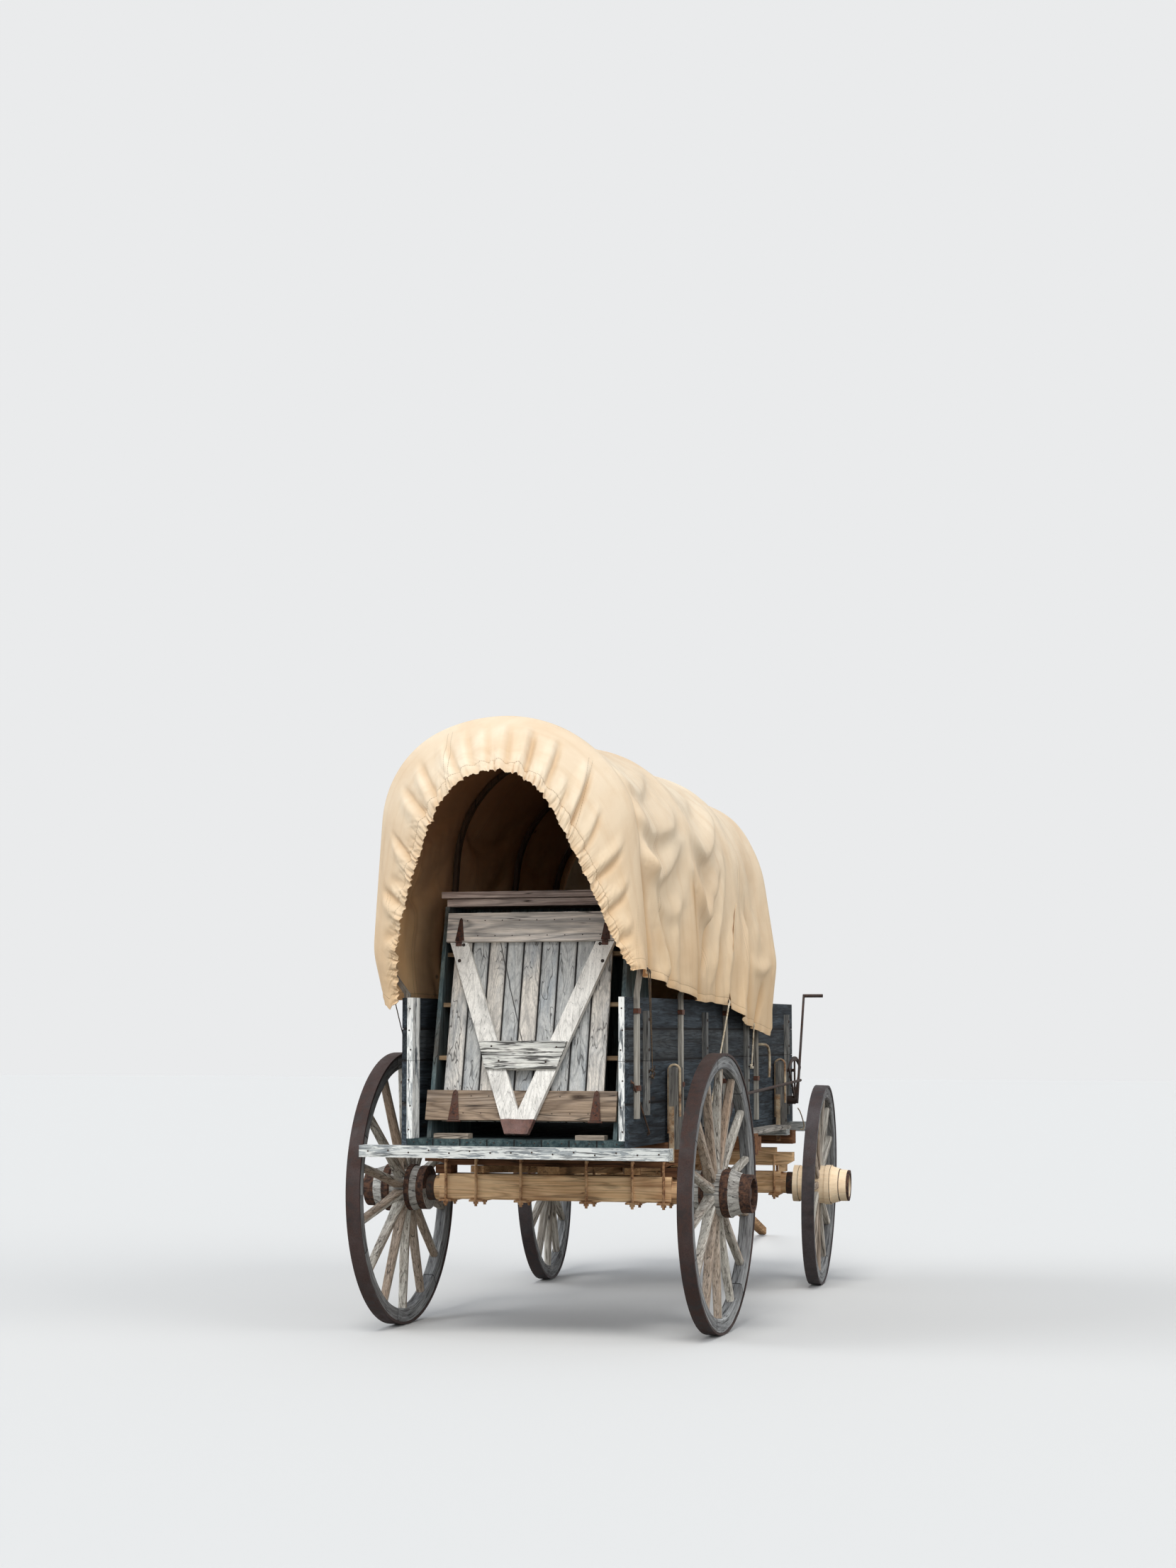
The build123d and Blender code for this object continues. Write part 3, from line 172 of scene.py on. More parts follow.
# Weathered timber. Everything is drawn out along the grain: broad streaks set the tone between two greys, growth rings
# are the contour lines of a stretched noise, fibres and flecks darken it and narrow checks open where a noise passes
# its middle value. Each board has a tone of its own, and knots, stains, paint, seams and splits lie over that.
def agedWood(name, plan):
    material, tree, shader = newMaterial(name, 0.85, 0.0, 0.2)
    times, plus, minus, work, lay, band, cloud, node = toolsOf(tree)
    spot = parted(tree, objectPlace(tree))
    across, along, through, angle, radius = grainSpace(tree, plan, spot)

    def drawn(sideways, lengthways, detail=3.0, rough=0.55, twist=0.3):
        point = join(tree, times(across, sideways), times(along, lengthways), times(through, sideways))
        return cloud(point, 1.0, detail, rough, twist)

    def between(value, low, high):
        return times(work("GREATER_THAN", value, low), work("LESS_THAN", value, high))

    light, middle, dark = [colour(*tone) for tone in plan["tones"]]
    # upper tones can carry painted light: on the lid's battens they are paler to offset the shade that falls there
    if "upper" in plan:  # above a level the piece has three tones of its own
        level, *upper = plan["upper"]
        above = work("GREATER_THAN", spot[2], level)
        light, middle, dark = [lay(above, a, colour(*b)) for a, b in zip((light, middle, dark), upper)]
    number, gap = None, None
    if "spokes" in plan:
        step = 2 * math.pi / plan["spokes"]
        number = work("ROUND", work("DIVIDE", angle, step))
        across = times(minus(angle, times(number, step)), radius)
        number = work("MODULO", plus(number, plan["spokes"]), plan["spokes"])
    elif "segments" in plan:  # pieces of a rim
        step = 2 * math.pi / plan["segments"]
        turns = work("DIVIDE", angle, step)
        number, gap = work("FLOOR", turns), times(work("PINGPONG", turns, 0.5), step * plan["radius"])
    elif "boards" in plan:  # boards of one width: where the first starts and how wide they are
        start, step = plan["boards"]
        turns = work("DIVIDE", minus(through, start), step)
        number, gap = work("FLOOR", turns), times(work("PINGPONG", turns, 0.5), step)
    elif "seams" in plan:  # boards of unequal width: the number grows by one at each seam
        number, gap = 0.0, 1.0
        for seam in plan["seams"]:
            number = plus(number, work("GREATER_THAN", across, seam))
            gap = work("MINIMUM", gap, work("ABSOLUTE", minus(across, seam)))
    if number is not None:
        chance = node("TexWhiteNoise", {"noise_dimensions": "1D"}, W=plus(number, plan.get("seed", 1.0) + 0.31))
        chance = chance.outputs["Value"]
        along = plus(along, times(chance, 7.0))
    streak = drawn(46.0, 1.9, 4.0, 0.55, 0.6)
    fibre = drawn(300.0, 11.0, 4.0, 0.6)
    ring = work("PINGPONG", times(drawn(plan.get("ringPitch", 13.0), 0.9, 1.0, 0.4, 0.8), 9.0), 0.5)
    stain = drawn(6.0, 1.9, 4.0, 0.6, 0.5)
    check = work("ABSOLUTE", minus(drawn(24.0, 0.8, 2.0, 0.5, 0.3), 0.5))
    base = lay(band(streak, [(0.34, 0.0), (0.66, 1.0)]), middle, light)
    if number is not None:
        base = lay(times(chance, plan.get("spread", 0.3)), base, dark)
        if "second" in plan:  # some boards take a second tone
            pick = work("GREATER_THAN", work("FRACT", times(chance, 13.7)), 0.6)
            base = lay(times(pick, band(stain, [(0.3, 0.75), (0.7, 0.25)])), base, colour(*plan["second"]))
    if "fade" in plan:  # low edge, high edge, colour, amount: a wash of another tone that comes in with height
        low, high, wash, amount = plan["fade"]
        rise = node("MapRange", Value=spot[2], From_Min=low, From_Max=high, To_Min=0.0, To_Max=amount).outputs[0]
        base = lay(rise, base, colour(*wash))
    base = lay(band(stain, [(0.46, 0.0), (0.70, plan.get("stained", 0.6))]), base, colour(*plan["stain"]))
    base = lay(times(band(ring, [(0.0, 1.0), (0.3, 0.0)]), plan.get("rings", 0.3)), base, dark)
    base = lay(band(fibre, [(0.44, 0.0), (0.68, plan.get("fibres", 0.45))]), base, dark)
    if "paint" in plan:  # old paint stays in patches and wears off along the grain
        tone, edge, amount = plan["paint"]
        flake = plus(drawn(70.0, 10.0, 6.0, 0.68, 0.5), times(minus(stain, 0.5), 0.7))
        base = lay(band(flake, [(edge, 0.0), (edge + 0.05, amount)]), base, colour(*tone))
    if "flecks" in plan:
        sideways, lengthways, edge, amount = plan["flecks"]
        fleck = drawn(sideways, lengthways, 3.0, 0.6, 0.4)
        base = lay(band(fleck, [(edge, 0.0), (edge + 0.07, amount)]), base, dark)
    knotAt = join(tree, times(across, 8.0), times(along, 2.0), times(through, 0.6))
    knot = node("TexVoronoi", Vector=knotAt, Scale=1.0, Randomness=1.0).outputs["Distance"]
    knot = times(band(knot, [(0.045, 1.0), (0.11, 0.0)]), plan.get("knots", 0.5))
    base = lay(knot, base, colour(*woodTones["knot"]))
    opened = band(check, [(0.0, 1.0), (0.006, 0.7), (0.016, 0.0)])
    opened = times(opened, band(stain, [(0.42, 0.0), (0.52, plan.get("checks", 0.8))]))
    if gap is not None:
        width = plan.get("seamWidth", 0.0022)
        seam = band(times(gap, 20.0), [(width * 20, 0.9), (width * 36, 0.25), (width * 90, 0.0)])
        opened = work("MAXIMUM", opened, seam)
    for x0, z0, x1, z1, width in plan.get("splits", []):  # wandering splits from one place on the face to another
        run, rise = x1 - x0, z1 - z0
        span = math.hypot(run, rise)
        wander = times(minus(drawn(9.0, 4.0, 2.0), 0.5), 0.016)
        px, pz = minus(spot[0], x0), minus(spot[2], z0)
        off = work("ABSOLUTE", plus(minus(times(px, rise / span), times(pz, run / span)), wander))
        way = plus(times(px, run / span / span), times(pz, rise / span / span))
        line = band(times(off, 50.0), [(width * 25, 0.85), (width * 75, 0.0)])
        opened = work("MAXIMUM", opened, times(line, between(way, 0.0, 1.0)))
    base = lay(opened, base, colour(*woodTones["gap"]))
    if "bands" in plan:  # iron bands shrunk on a hub: places along the axle, outward from the wheel's middle
        out = times(along, plan["outward"])
        worn = band(cloud(objectPlace(tree), 60.0, 4.0, 0.6), [(0.4, 0.0), (0.62, 1.0)])
        bandTone = lay(worn, colour(*woodTones["bandDark"]), colour(*woodTones["bandRust"]))
        for start, stop in plan["bands"]:
            base = lay(between(out, start, stop), base, bandTone)
    height = minus(plus(times(fibre, 0.5), times(streak, 0.4)), times(opened, 1.5))
    finishShader(tree, shader, base, height, 0.5, 0.003, band(fibre, [(0.3, 0.78), (0.7, 0.95)]))
    return material


# Old iron: rust and dark scale in blotches of two sizes, pitted by a fine noise, with dull bare patches.
def rustyIron(name, bare, rust, dark, metallic=0.25, roughness=0.75, size=26.0):
    material, tree, shader = newMaterial(name, roughness, metallic, 0.35)
    times, plus, _, _, lay, band, cloud, _ = toolsOf(tree)
    bare, rust, dark = (colour(*tone) for tone in (bare, rust, dark))
    place = objectPlace(tree)
    broad = cloud(place, size * 0.4, 4.0, 0.6, 0.3)
    blotch = cloud(place, size * 2.2, 5.0, 0.65, 0.4)
    pits = cloud(place, size * 17, 3.0, 0.6)
    base = lay(band(blotch, [(0.40, 0.0), (0.60, 1.0)]), dark, rust)
    base = lay(band(broad, [(0.42, 0.0), (0.62, 0.85)]), base, bare)
    base = lay(band(pits, [(0.35, 0.45), (0.55, 0.0)]), base, dark)
    height = plus(times(blotch, 0.6), times(pits, 0.5))
    finishShader(tree, shader, base, height, 0.4, 0.0015, band(blotch, [(0.35, 0.6), (0.65, 0.88)]))
    return material


# Cotton duck: threads crossing at the real pitch, paler towards the top and stained in broad soft patches; on the inner
# cloth the top tone is a painted shade under the crown. The sheets carry two attributes: edge is the distance to the
# nearest hem, where stitches run, and fold is the height of a fold, so that a painted shade darkens the valleys.
def canvasCloth(name, plan):
    material, tree, shader = newMaterial(name, 0.92, 0.0, 0.15)
    shader.inputs["Sheen Weight"].default_value = 0.08
    shader.inputs["Sheen Roughness"].default_value = 0.5
    times, plus, minus, work, lay, band, cloud, node = toolsOf(tree)
    body, top, stain, dirt = (colour(*plan[label]) for label in ("body", "top", "stain", "dirt"))
    edge, fold = (node("Attribute", {"attribute_name": label}).outputs["Fac"] for label in ("edge", "fold"))
    place = objectPlace(tree)
    cloth = node("UVMap", {"uv_map": "cloth"}).outputs[0]
    flat = parted(tree, cloth)
    # paler towards the top on the outer cloth; on the inner cloth the same mask paints shade, darker towards the crown
    topTintAndPaintedShade = band(times(parted(tree, place)[2], 0.25), [(0.40, 0.0), (0.70, 1.0)])
    base = lay(topTintAndPaintedShade, body, top)
    patch = cloud(place, 2.1, 5.0, 0.6, 0.4)
    base = lay(band(patch, [(0.45, 0.0), (0.75, 0.55)]), base, stain)
    streak = cloud(node("Mapping", Vector=cloth, Scale=(1.4, 16.0, 1.0)).outputs[0], 1.0, 4.0, 0.6)
    base = lay(band(streak, [(0.50, 0.0), (0.8, 0.4)]), base, stain)
    # painted shade: the fold valleys are darkened towards the stain tone
    valleyPaintedShade = node("MapRange", Value=fold, From_Min=0.004, From_Max=-0.030, To_Min=0.0, To_Max=plan["valleyShade"])
    base = lay(valleyPaintedShade.outputs[0], base, stain)
    spots = node("TexVoronoi", Vector=place, Scale=3.1, Randomness=1.0).outputs["Distance"]
    base = lay(band(spots, [(0.022, 0.55), (0.045, 0.0)]), base, dirt)
    soiled = node("MapRange", Value=edge, From_Min=0.0, From_Max=0.06, To_Min=0.55, To_Max=0.0).outputs[0]
    grime = band(cloud(place, 14.0, 4.0, 0.6), [(0.35, 0.2), (0.65, 1.0)])
    base = lay(times(soiled, grime), base, stain)
    # stitched hem, and flat seams where one width of cloth meets the next
    dash = work("SINE", times(plus(flat[0], flat[1]), 620.0))
    seamGap = work("PINGPONG", plus(flat[plan["seamAcross"]], 0.21), 0.37)
    seamGap = work("ABSOLUTE", minus(seamGap, 0.012))
    hemGap = work("ABSOLUTE", minus(edge, plan["stitch"]))
    near = work("MINIMUM", hemGap, plus(seamGap, 0.0003))
    line = band(times(near, 100.0), [(0.09, 1.0), (0.24, 0.0)])
    stitch = times(line, band(dash, [(0.35, 0.35), (0.6, 1.0)]))
    base = lay(times(stitch, 0.6), base, dirt)
    warp, weft = (node("TexWave", {"bands_direction": way}, Vector=cloth, Scale=plan["threads"], Distortion=1.2)
                  for way in ("X", "Y"))
    weave = times(warp.outputs["Fac"], weft.outputs["Fac"])
    slub = cloud(node("Mapping", Vector=cloth, Scale=(260.0, 30.0, 1.0)).outputs[0], 1.0, 4.0, 0.6)
    base = lay(times(weave, 0.15), base, top, "MULTIPLY")
    crease = cloud(place, 22.0, 5.0, 0.6, 1.2)
    wrinkle = cloud(place, 55.0, 3.0, 0.6, 1.5)
    height = times(weave, 0.5)
    for relief, amount in ((slub, 0.8), (crease, 3.2), (wrinkle, 1.6), (line, -1.4)):
        height = plus(height, times(relief, amount))
    finishShader(tree, shader, base, height, 0.42, 0.0024)
    return material


print("camera and shader helpers ready")


def meshFrom(name, points, quads, uv=None, smooth=True):
    mesh = bpy.data.meshes.new(name)
    mesh.vertices.add(len(points))
    mesh.vertices.foreach_set("co", np.asarray(points, np.float32).ravel())
    mesh.loops.add(quads.size)
    mesh.loops.foreach_set("vertex_index", quads.astype(np.int32).ravel())
    mesh.polygons.add(len(quads))
    mesh.polygons.foreach_set("loop_start", (np.arange(len(quads)) * quads.shape[1]).astype(np.int32))
    mesh.update(calc_edges=True)
    mesh.validate()
    if uv is not None:
        layer = mesh.uv_layers.new(name="cloth")
        layer.data.foreach_set("uv", uv[quads.ravel()].astype(np.float32).ravel())
    if smooth:
        mesh.polygons.foreach_set("use_smooth", np.ones(len(quads), bool))
    thing = bpy.data.objects.new(name, mesh)
    bpy.context.scene.collection.objects.link(thing)
    return thing


# smooth seeded noise on arrays: a sum of sine waves whose directions and phases are drawn once
def ripple(x, y, seed, size, octaves=3):
    draw = np.random.default_rng(seed)
    total = np.zeros(np.broadcast(x, y).shape)
    weight = 1.0
    for _ in range(octaves):
        for _ in range(5):
            direction = draw.uniform(0, 2 * np.pi)
            pitch = size * draw.uniform(0.7, 1.5)
            phase = draw.uniform(0, 2 * np.pi)
            total = total + weight * np.sin((x * np.cos(direction) + y * np.sin(direction)) * 2 * np.pi / pitch + phase)
        size = size * 0.5
        weight = weight * 0.5
    return total / 5.0


# a value read off a table of pairs
def tableAt(x, table, **ends):
    return np.interp(x, *np.array(table).T, **ends)


# a share from 0 to 1 that starts and stops softly
def eased(share):
    return share * share * (3 - 2 * share)


# places between a path's points on a smooth curve through them, at even shares of each stretch
def curveThrough(path, each=8):
    path = np.array(path, float)
    padded = np.concatenate([2 * path[:1] - path[1:2], path, 2 * path[-1:] - path[-2:-1]])
    t = (np.arange(each) / each)[:, None]
    parts = [0.5 * (2 * b + (c - a) * t + (2 * a - 5 * b + 4 * c - d) * t ** 2 + (3 * b - a - 3 * c + d) * t ** 3)
             for a, b, c, d in zip(padded, padded[1:], padded[2:], padded[3:])]
    return np.concatenate(parts + [path[-1:]])


# The canvas. Its plain shape is drawn over the bows as sections from rear to front, then folds, sag and pleats
# are added along the outward direction.
coverShape = dict(
    level=1.80,  # half widths are taken at this height
    low=1.50,  # sections are measured from the crown down to this height
    # mouths: y at the foot, y at the crown, x of the crown, its height, right side, left side; a side is half width,
    # lean, crown radius, shoulder radius, half width at the foot and the foot's height
    rearMouth=(-0.760, -0.968, 0.0, 2.604, None, None),
    frontMouth=(2.060, 2.226, 0.0, 2.468, (0.508, 18.0, 0.450, 0.300, 0.585, 1.45),
                (0.508, 18.0, 0.450, 0.300, 0.585, 1.45)),
    # bows: y, x of the crown, its height, right side, left side
    bows=[
        (-0.585, -0.090, 2.904, (0.699, 5.0, 0.680, 0.440, 0.605, 1.45), (0.638, 3.5, 0.800, 0.480, 0.640, 1.45)),
        (0.228, -0.010, 2.836, (0.659, 3.6, 0.835, 0.590, 0.630, 1.45), (0.639, 3.6, 0.835, 0.590, 0.624, 1.45)),
        (1.170, 0.0, 2.803, (0.659, 6.1, 0.845, 0.590, 0.634, 1.35), (0.659, 6.1, 0.845, 0.590, 0.634, 1.35)),
        (1.900, 0.0, 2.740, (0.676, 8.6, 0.845, 0.590, 0.627, 1.35), (0.676, 8.6, 0.845, 0.590, 0.627, 1.35)),
    ],
    beside=0.022,  # each bow has a section this far on either side of its middle
    bowHalf=0.021,
    joinAt=0.86,  # the rear sheet meets the main one here, short of the rear bow
    mouthRight=[(0.073, 2.592), (0.134, 2.562), (0.193, 2.514), (0.250, 2.436), (0.332, 2.276), (0.422, 2.066),
                (0.493, 1.886), (0.545, 1.765), (0.600, 1.694), (0.640, 1.600), (0.650, 1.450)],
    mouthLeft=[(0.104, 2.590), (0.157, 2.568), (0.213, 2.532), (0.281, 2.452), (0.353, 2.319), (0.430, 2.123),
               (0.480, 1.980), (0.514, 1.860), (0.532, 1.730), (0.538, 1.596), (0.538, 1.450)],
    mouthFrom=1.6, mouthPower=0.92,  # a mouth leans outward from this height up, by this power of the rise
    steps=600, smoothBow=30, smoothMouth=24,  # places on half an arch, and how many the rolling mean takes each way
    thick=0.0022,
)
coverShape["stations"] = [
    coverShape["rearMouth"],
    *((round(y + step, 4), round(y + step, 4), *rest) for y, *rest in coverShape["bows"]
      for step in (-coverShape["beside"], coverShape["beside"])),
    coverShape["frontMouth"],
]


# half an arch from the crown down: a crown arc, a shoulder arc, a leaning side and a line in to the foot, taken at
# even steps and smoothed by a rolling mean; gives distance run, x and z
def halfArch(station, side):
    crownX, crown = coverShape["stations"][station][2:4]
    facts = coverShape["stations"][station][4 if side > 0 else 5]
    if facts is None:
        table = np.array([(0.0, crown)] + coverShape["mouthRight" if side > 0 else "mouthLeft"])
        x, z, span = table[:, 0], table[:, 1], coverShape["smoothMouth"]
    else:
        half, lean, bigR, smallR, footHalf, footZ = facts
        level = coverShape["level"]
        a = math.radians(lean)
        bigZ = crown - bigR
        reach = math.cos(a) * half + math.sin(a) * level
        phi = math.asin((reach - smallR - math.sin(a) * bigZ) / (bigR - smallR)) - a
        first = np.linspace(0, phi, 80)
        second = np.linspace(phi, math.pi / 2 - a, 80)[1:]
        inner = bigR - smallR
        x = np.concatenate([bigR * np.sin(first), inner * math.sin(phi) + smallR * np.sin(second),
                            [half, footHalf - side * crownX]])
        z = np.concatenate([bigZ + bigR * np.cos(first), bigZ + inner * math.cos(phi) + smallR * np.cos(second),
                            [level, footZ]])
        span = coverShape["smoothBow"]
    run = np.concatenate([[0], np.cumsum(np.hypot(np.diff(x), np.diff(z)))])
    even = np.linspace(0, run[-1], coverShape["steps"])
    x, z = np.interp(even, run, x), np.interp(even, run, z)
    window = np.hanning(2 * span + 3)[1:-1]
    window /= window.sum()
    x = np.convolve(np.concatenate([-x[span:0:-1], x, 2 * x[-1] - x[-2:-span - 2:-1]]), window, "valid")
    z = np.convolve(np.concatenate([z[span:0:-1], z, 2 * z[-1] - z[-2:-span - 2:-1]]), window, "valid")
    return even, crownX + side * x, z + (crown - z[0])


arches = [{side: halfArch(station, side) for side in (1, -1)} for station in range(len(coverShape["stations"]))]


# how far down an arch it has fallen to a level, as a share of the way to the low level
def shareAt(station, side, level):
    run, _, z = arches[station][side]
    return np.interp(-level, -z, run) / np.interp(-coverShape["low"], -z, run)


# a point of an arch by its share; a mouth leans outward as it rises
def archPoint(station, side, share):
    run, x, z = arches[station][side]
    distance = share * np.interp(-coverShape["low"], -z, run)
    footY, crownY = coverShape["stations"][station][:2]
    low = coverShape["mouthFrom"]
    rise = np.clip((np.interp(distance, run, z) - low) / (z[0] - low), 0, 1) ** coverShape["mouthPower"]
    return np.stack([np.interp(distance, run, x), footY + (crownY - footY) * rise, np.interp(distance, run, z)], -1)


# the plain cloth: w runs over the stations, a from -1 on the right to 1 on the left with 0 at the crown, and the hem
# levels say where a = -1 and a = 1 lie; below the keep share the columns stretch or shrink to reach them
def plainCloth(w, a, hemRight, hemLeft, keep=0.62):
    station = np.clip(np.floor(w).astype(int), 0, len(arches) - 2)
    t = w - station
    points = np.zeros(w.shape + (3,))
    run = np.zeros(w.shape)
    for k in range(len(arches) - 1):
        for side in (1, -1):
            here = (station == k) & ((a < 0) == (side > 0))
            if not here.any():
                continue
            blend = t[here]
            hem = (hemRight if side > 0 else hemLeft)[here]
            end = shareAt(k, side, hem) * (1 - blend) + shareAt(k + 1, side, hem) * blend
            reach = np.abs(a[here])
            share = np.where(reach < keep, reach, keep + (reach - keep) / (1 - keep) * (end - keep))
            points[here] = (archPoint(k, side, share) * (1 - blend)[:, None]
                            + archPoint(k + 1, side, share) * blend[:, None])
            length = [np.interp(-coverShape["low"], -arches[j][side][2], arches[j][side][0]) for j in (k, k + 1)]
            run[here] = side * share * (length[0] * (1 - blend) + length[1] * blend)
    return points, run


# outward directions of a grid from its differences both ways
def outward(points):
    n = np.cross(np.gradient(points, axis=0), np.gradient(points, axis=1))
    n /= np.linalg.norm(n, axis=2, keepdims=True) + 1e-12
    away = points * np.array([1, 0, 1]) - np.array([0, 0, 1.9])
    return n * np.sign(np.sum(n * away, axis=2, keepdims=True).mean())


# corners over the bows rounded: each row becomes half itself and a quarter of each neighbour, three times
def soften(points):
    for _ in range(3):
        points = np.concatenate([points[:1], points[:-2] * 0.25 + points[1:-1] * 0.5 + points[2:] * 0.25, points[-1:]])
    return points


# signed distance from a bent line through the route's points (y, run) and how far along it the nearest place is
def besideLine(y, s, route):
    line = curveThrough(route)
    best = np.full(y.shape, 1e9)
    sign = np.ones(y.shape)
    where = np.zeros(y.shape)
    for i, (start, step) in enumerate(zip(line, np.diff(line, axis=0))):
        f = np.clip(((y - start[0]) * step[0] + (s - start[1]) * step[1]) / (step @ step), 0, 1)
        dy, ds = y - start[0] - f * step[0], s - start[1] - f * step[1]
        gap = np.hypot(dy, ds)
        closer = gap < best
        best = np.where(closer, gap, best)
        sign = np.where(closer, np.sign(step[0] * ds - step[1] * dy), sign)
        where = np.where(closer, (i + f) / (len(line) - 1), where)
    return best * sign, where


# a fold: a bump beside the line, with a width above the line and one below it, fading over the share fade at each end
def fold(y, s, route, height, above, below, fade):
    gap, where = besideLine(y, s, route)
    width = np.where(gap > 0, below, above)
    near = np.clip(where / fade, 0, 1) * np.clip((1 - where) / fade, 0, 1)
    return height * eased(near) * np.exp(-(gap / width) ** 2)


# gathers: round ridges between uneven narrow valleys, the height changing from ridge to ridge
def gathers(s, height, seed, pitch, uneven=0.35, sharp=0.65, ridges=400):
    draw = np.random.default_rng(seed)
    numbers = np.arange(float(ridges))
    places = np.cumsum(pitch * (1 + draw.uniform(-uneven, uneven, ridges)))
    places -= places[ridges // 2]
    count = np.interp(s, places, numbers)
    tall = np.interp(np.floor(count), numbers, draw.uniform(0.45, 1.0, ridges))
    return height * tall * np.abs(np.sin(np.pi * count)) ** sharp


canvasFacts = dict(body=(221, 194, 158), top=(228, 214, 192), stain=(200, 166, 126), dirt=(104, 78, 54),
                   threads=420.0, valleyShade=1.0, stitch=0.038, seamAcross=1)
canvasOuter = canvasCloth("canvas outer", canvasFacts)
canvasRim = canvasCloth("canvas rim", dict(canvasFacts, stitch=0.050, seamAcross=0))
# inside, the tones are painted light: the bright warm body low down is a painted glow of daylight through the cloth,
# and the dark brown top tone is painted shade under the crown
canvasInner = canvasCloth("canvas inner", dict(canvasFacts, body=(246, 206, 154), top=(178, 122, 76),
                                               stain=(190, 136, 88), dirt=(70, 48, 34)))


# one mesh from several index grids that may share points; face direction is rows crossed with columns
def sheetFrom(name, points, grids, uv, edge, fold, cloth, inner):
    quads = np.concatenate([np.stack([g[:-1, :-1], g[1:, :-1], g[1:, 1:], g[:-1, 1:]], -1).reshape(-1, 4)
                            for g in grids])
    used, quads = np.unique(quads, return_inverse=True)
    quads = quads.reshape(-1, 4)
    thing = meshFrom(name, points[used] + np.array([0, rearY, 0]), quads, uv[used])
    for label, values in (("edge", edge), ("fold", fold)):
        layer = thing.data.attributes.new(label, "FLOAT", "POINT")
        layer.data.foreach_set("value", values[used].astype(np.float32))
    solid = thing.modifiers.new("thickness", "SOLIDIFY")
    solid.thickness = coverShape["thick"]
    solid.offset = -1.0
    solid.material_offset = 1
    thing.data.materials.append(cloth)
    thing.data.materials.append(inner)
    thing.data = bpy.data.meshes.new_from_object(thing.evaluated_get(bpy.context.evaluated_depsgraph_get()))
    thing.modifiers.clear()
    thing.data.set_sharp_from_angle(angle=math.radians(70))  # the rims stay crisp and don't bend the faces' shading
    return thing


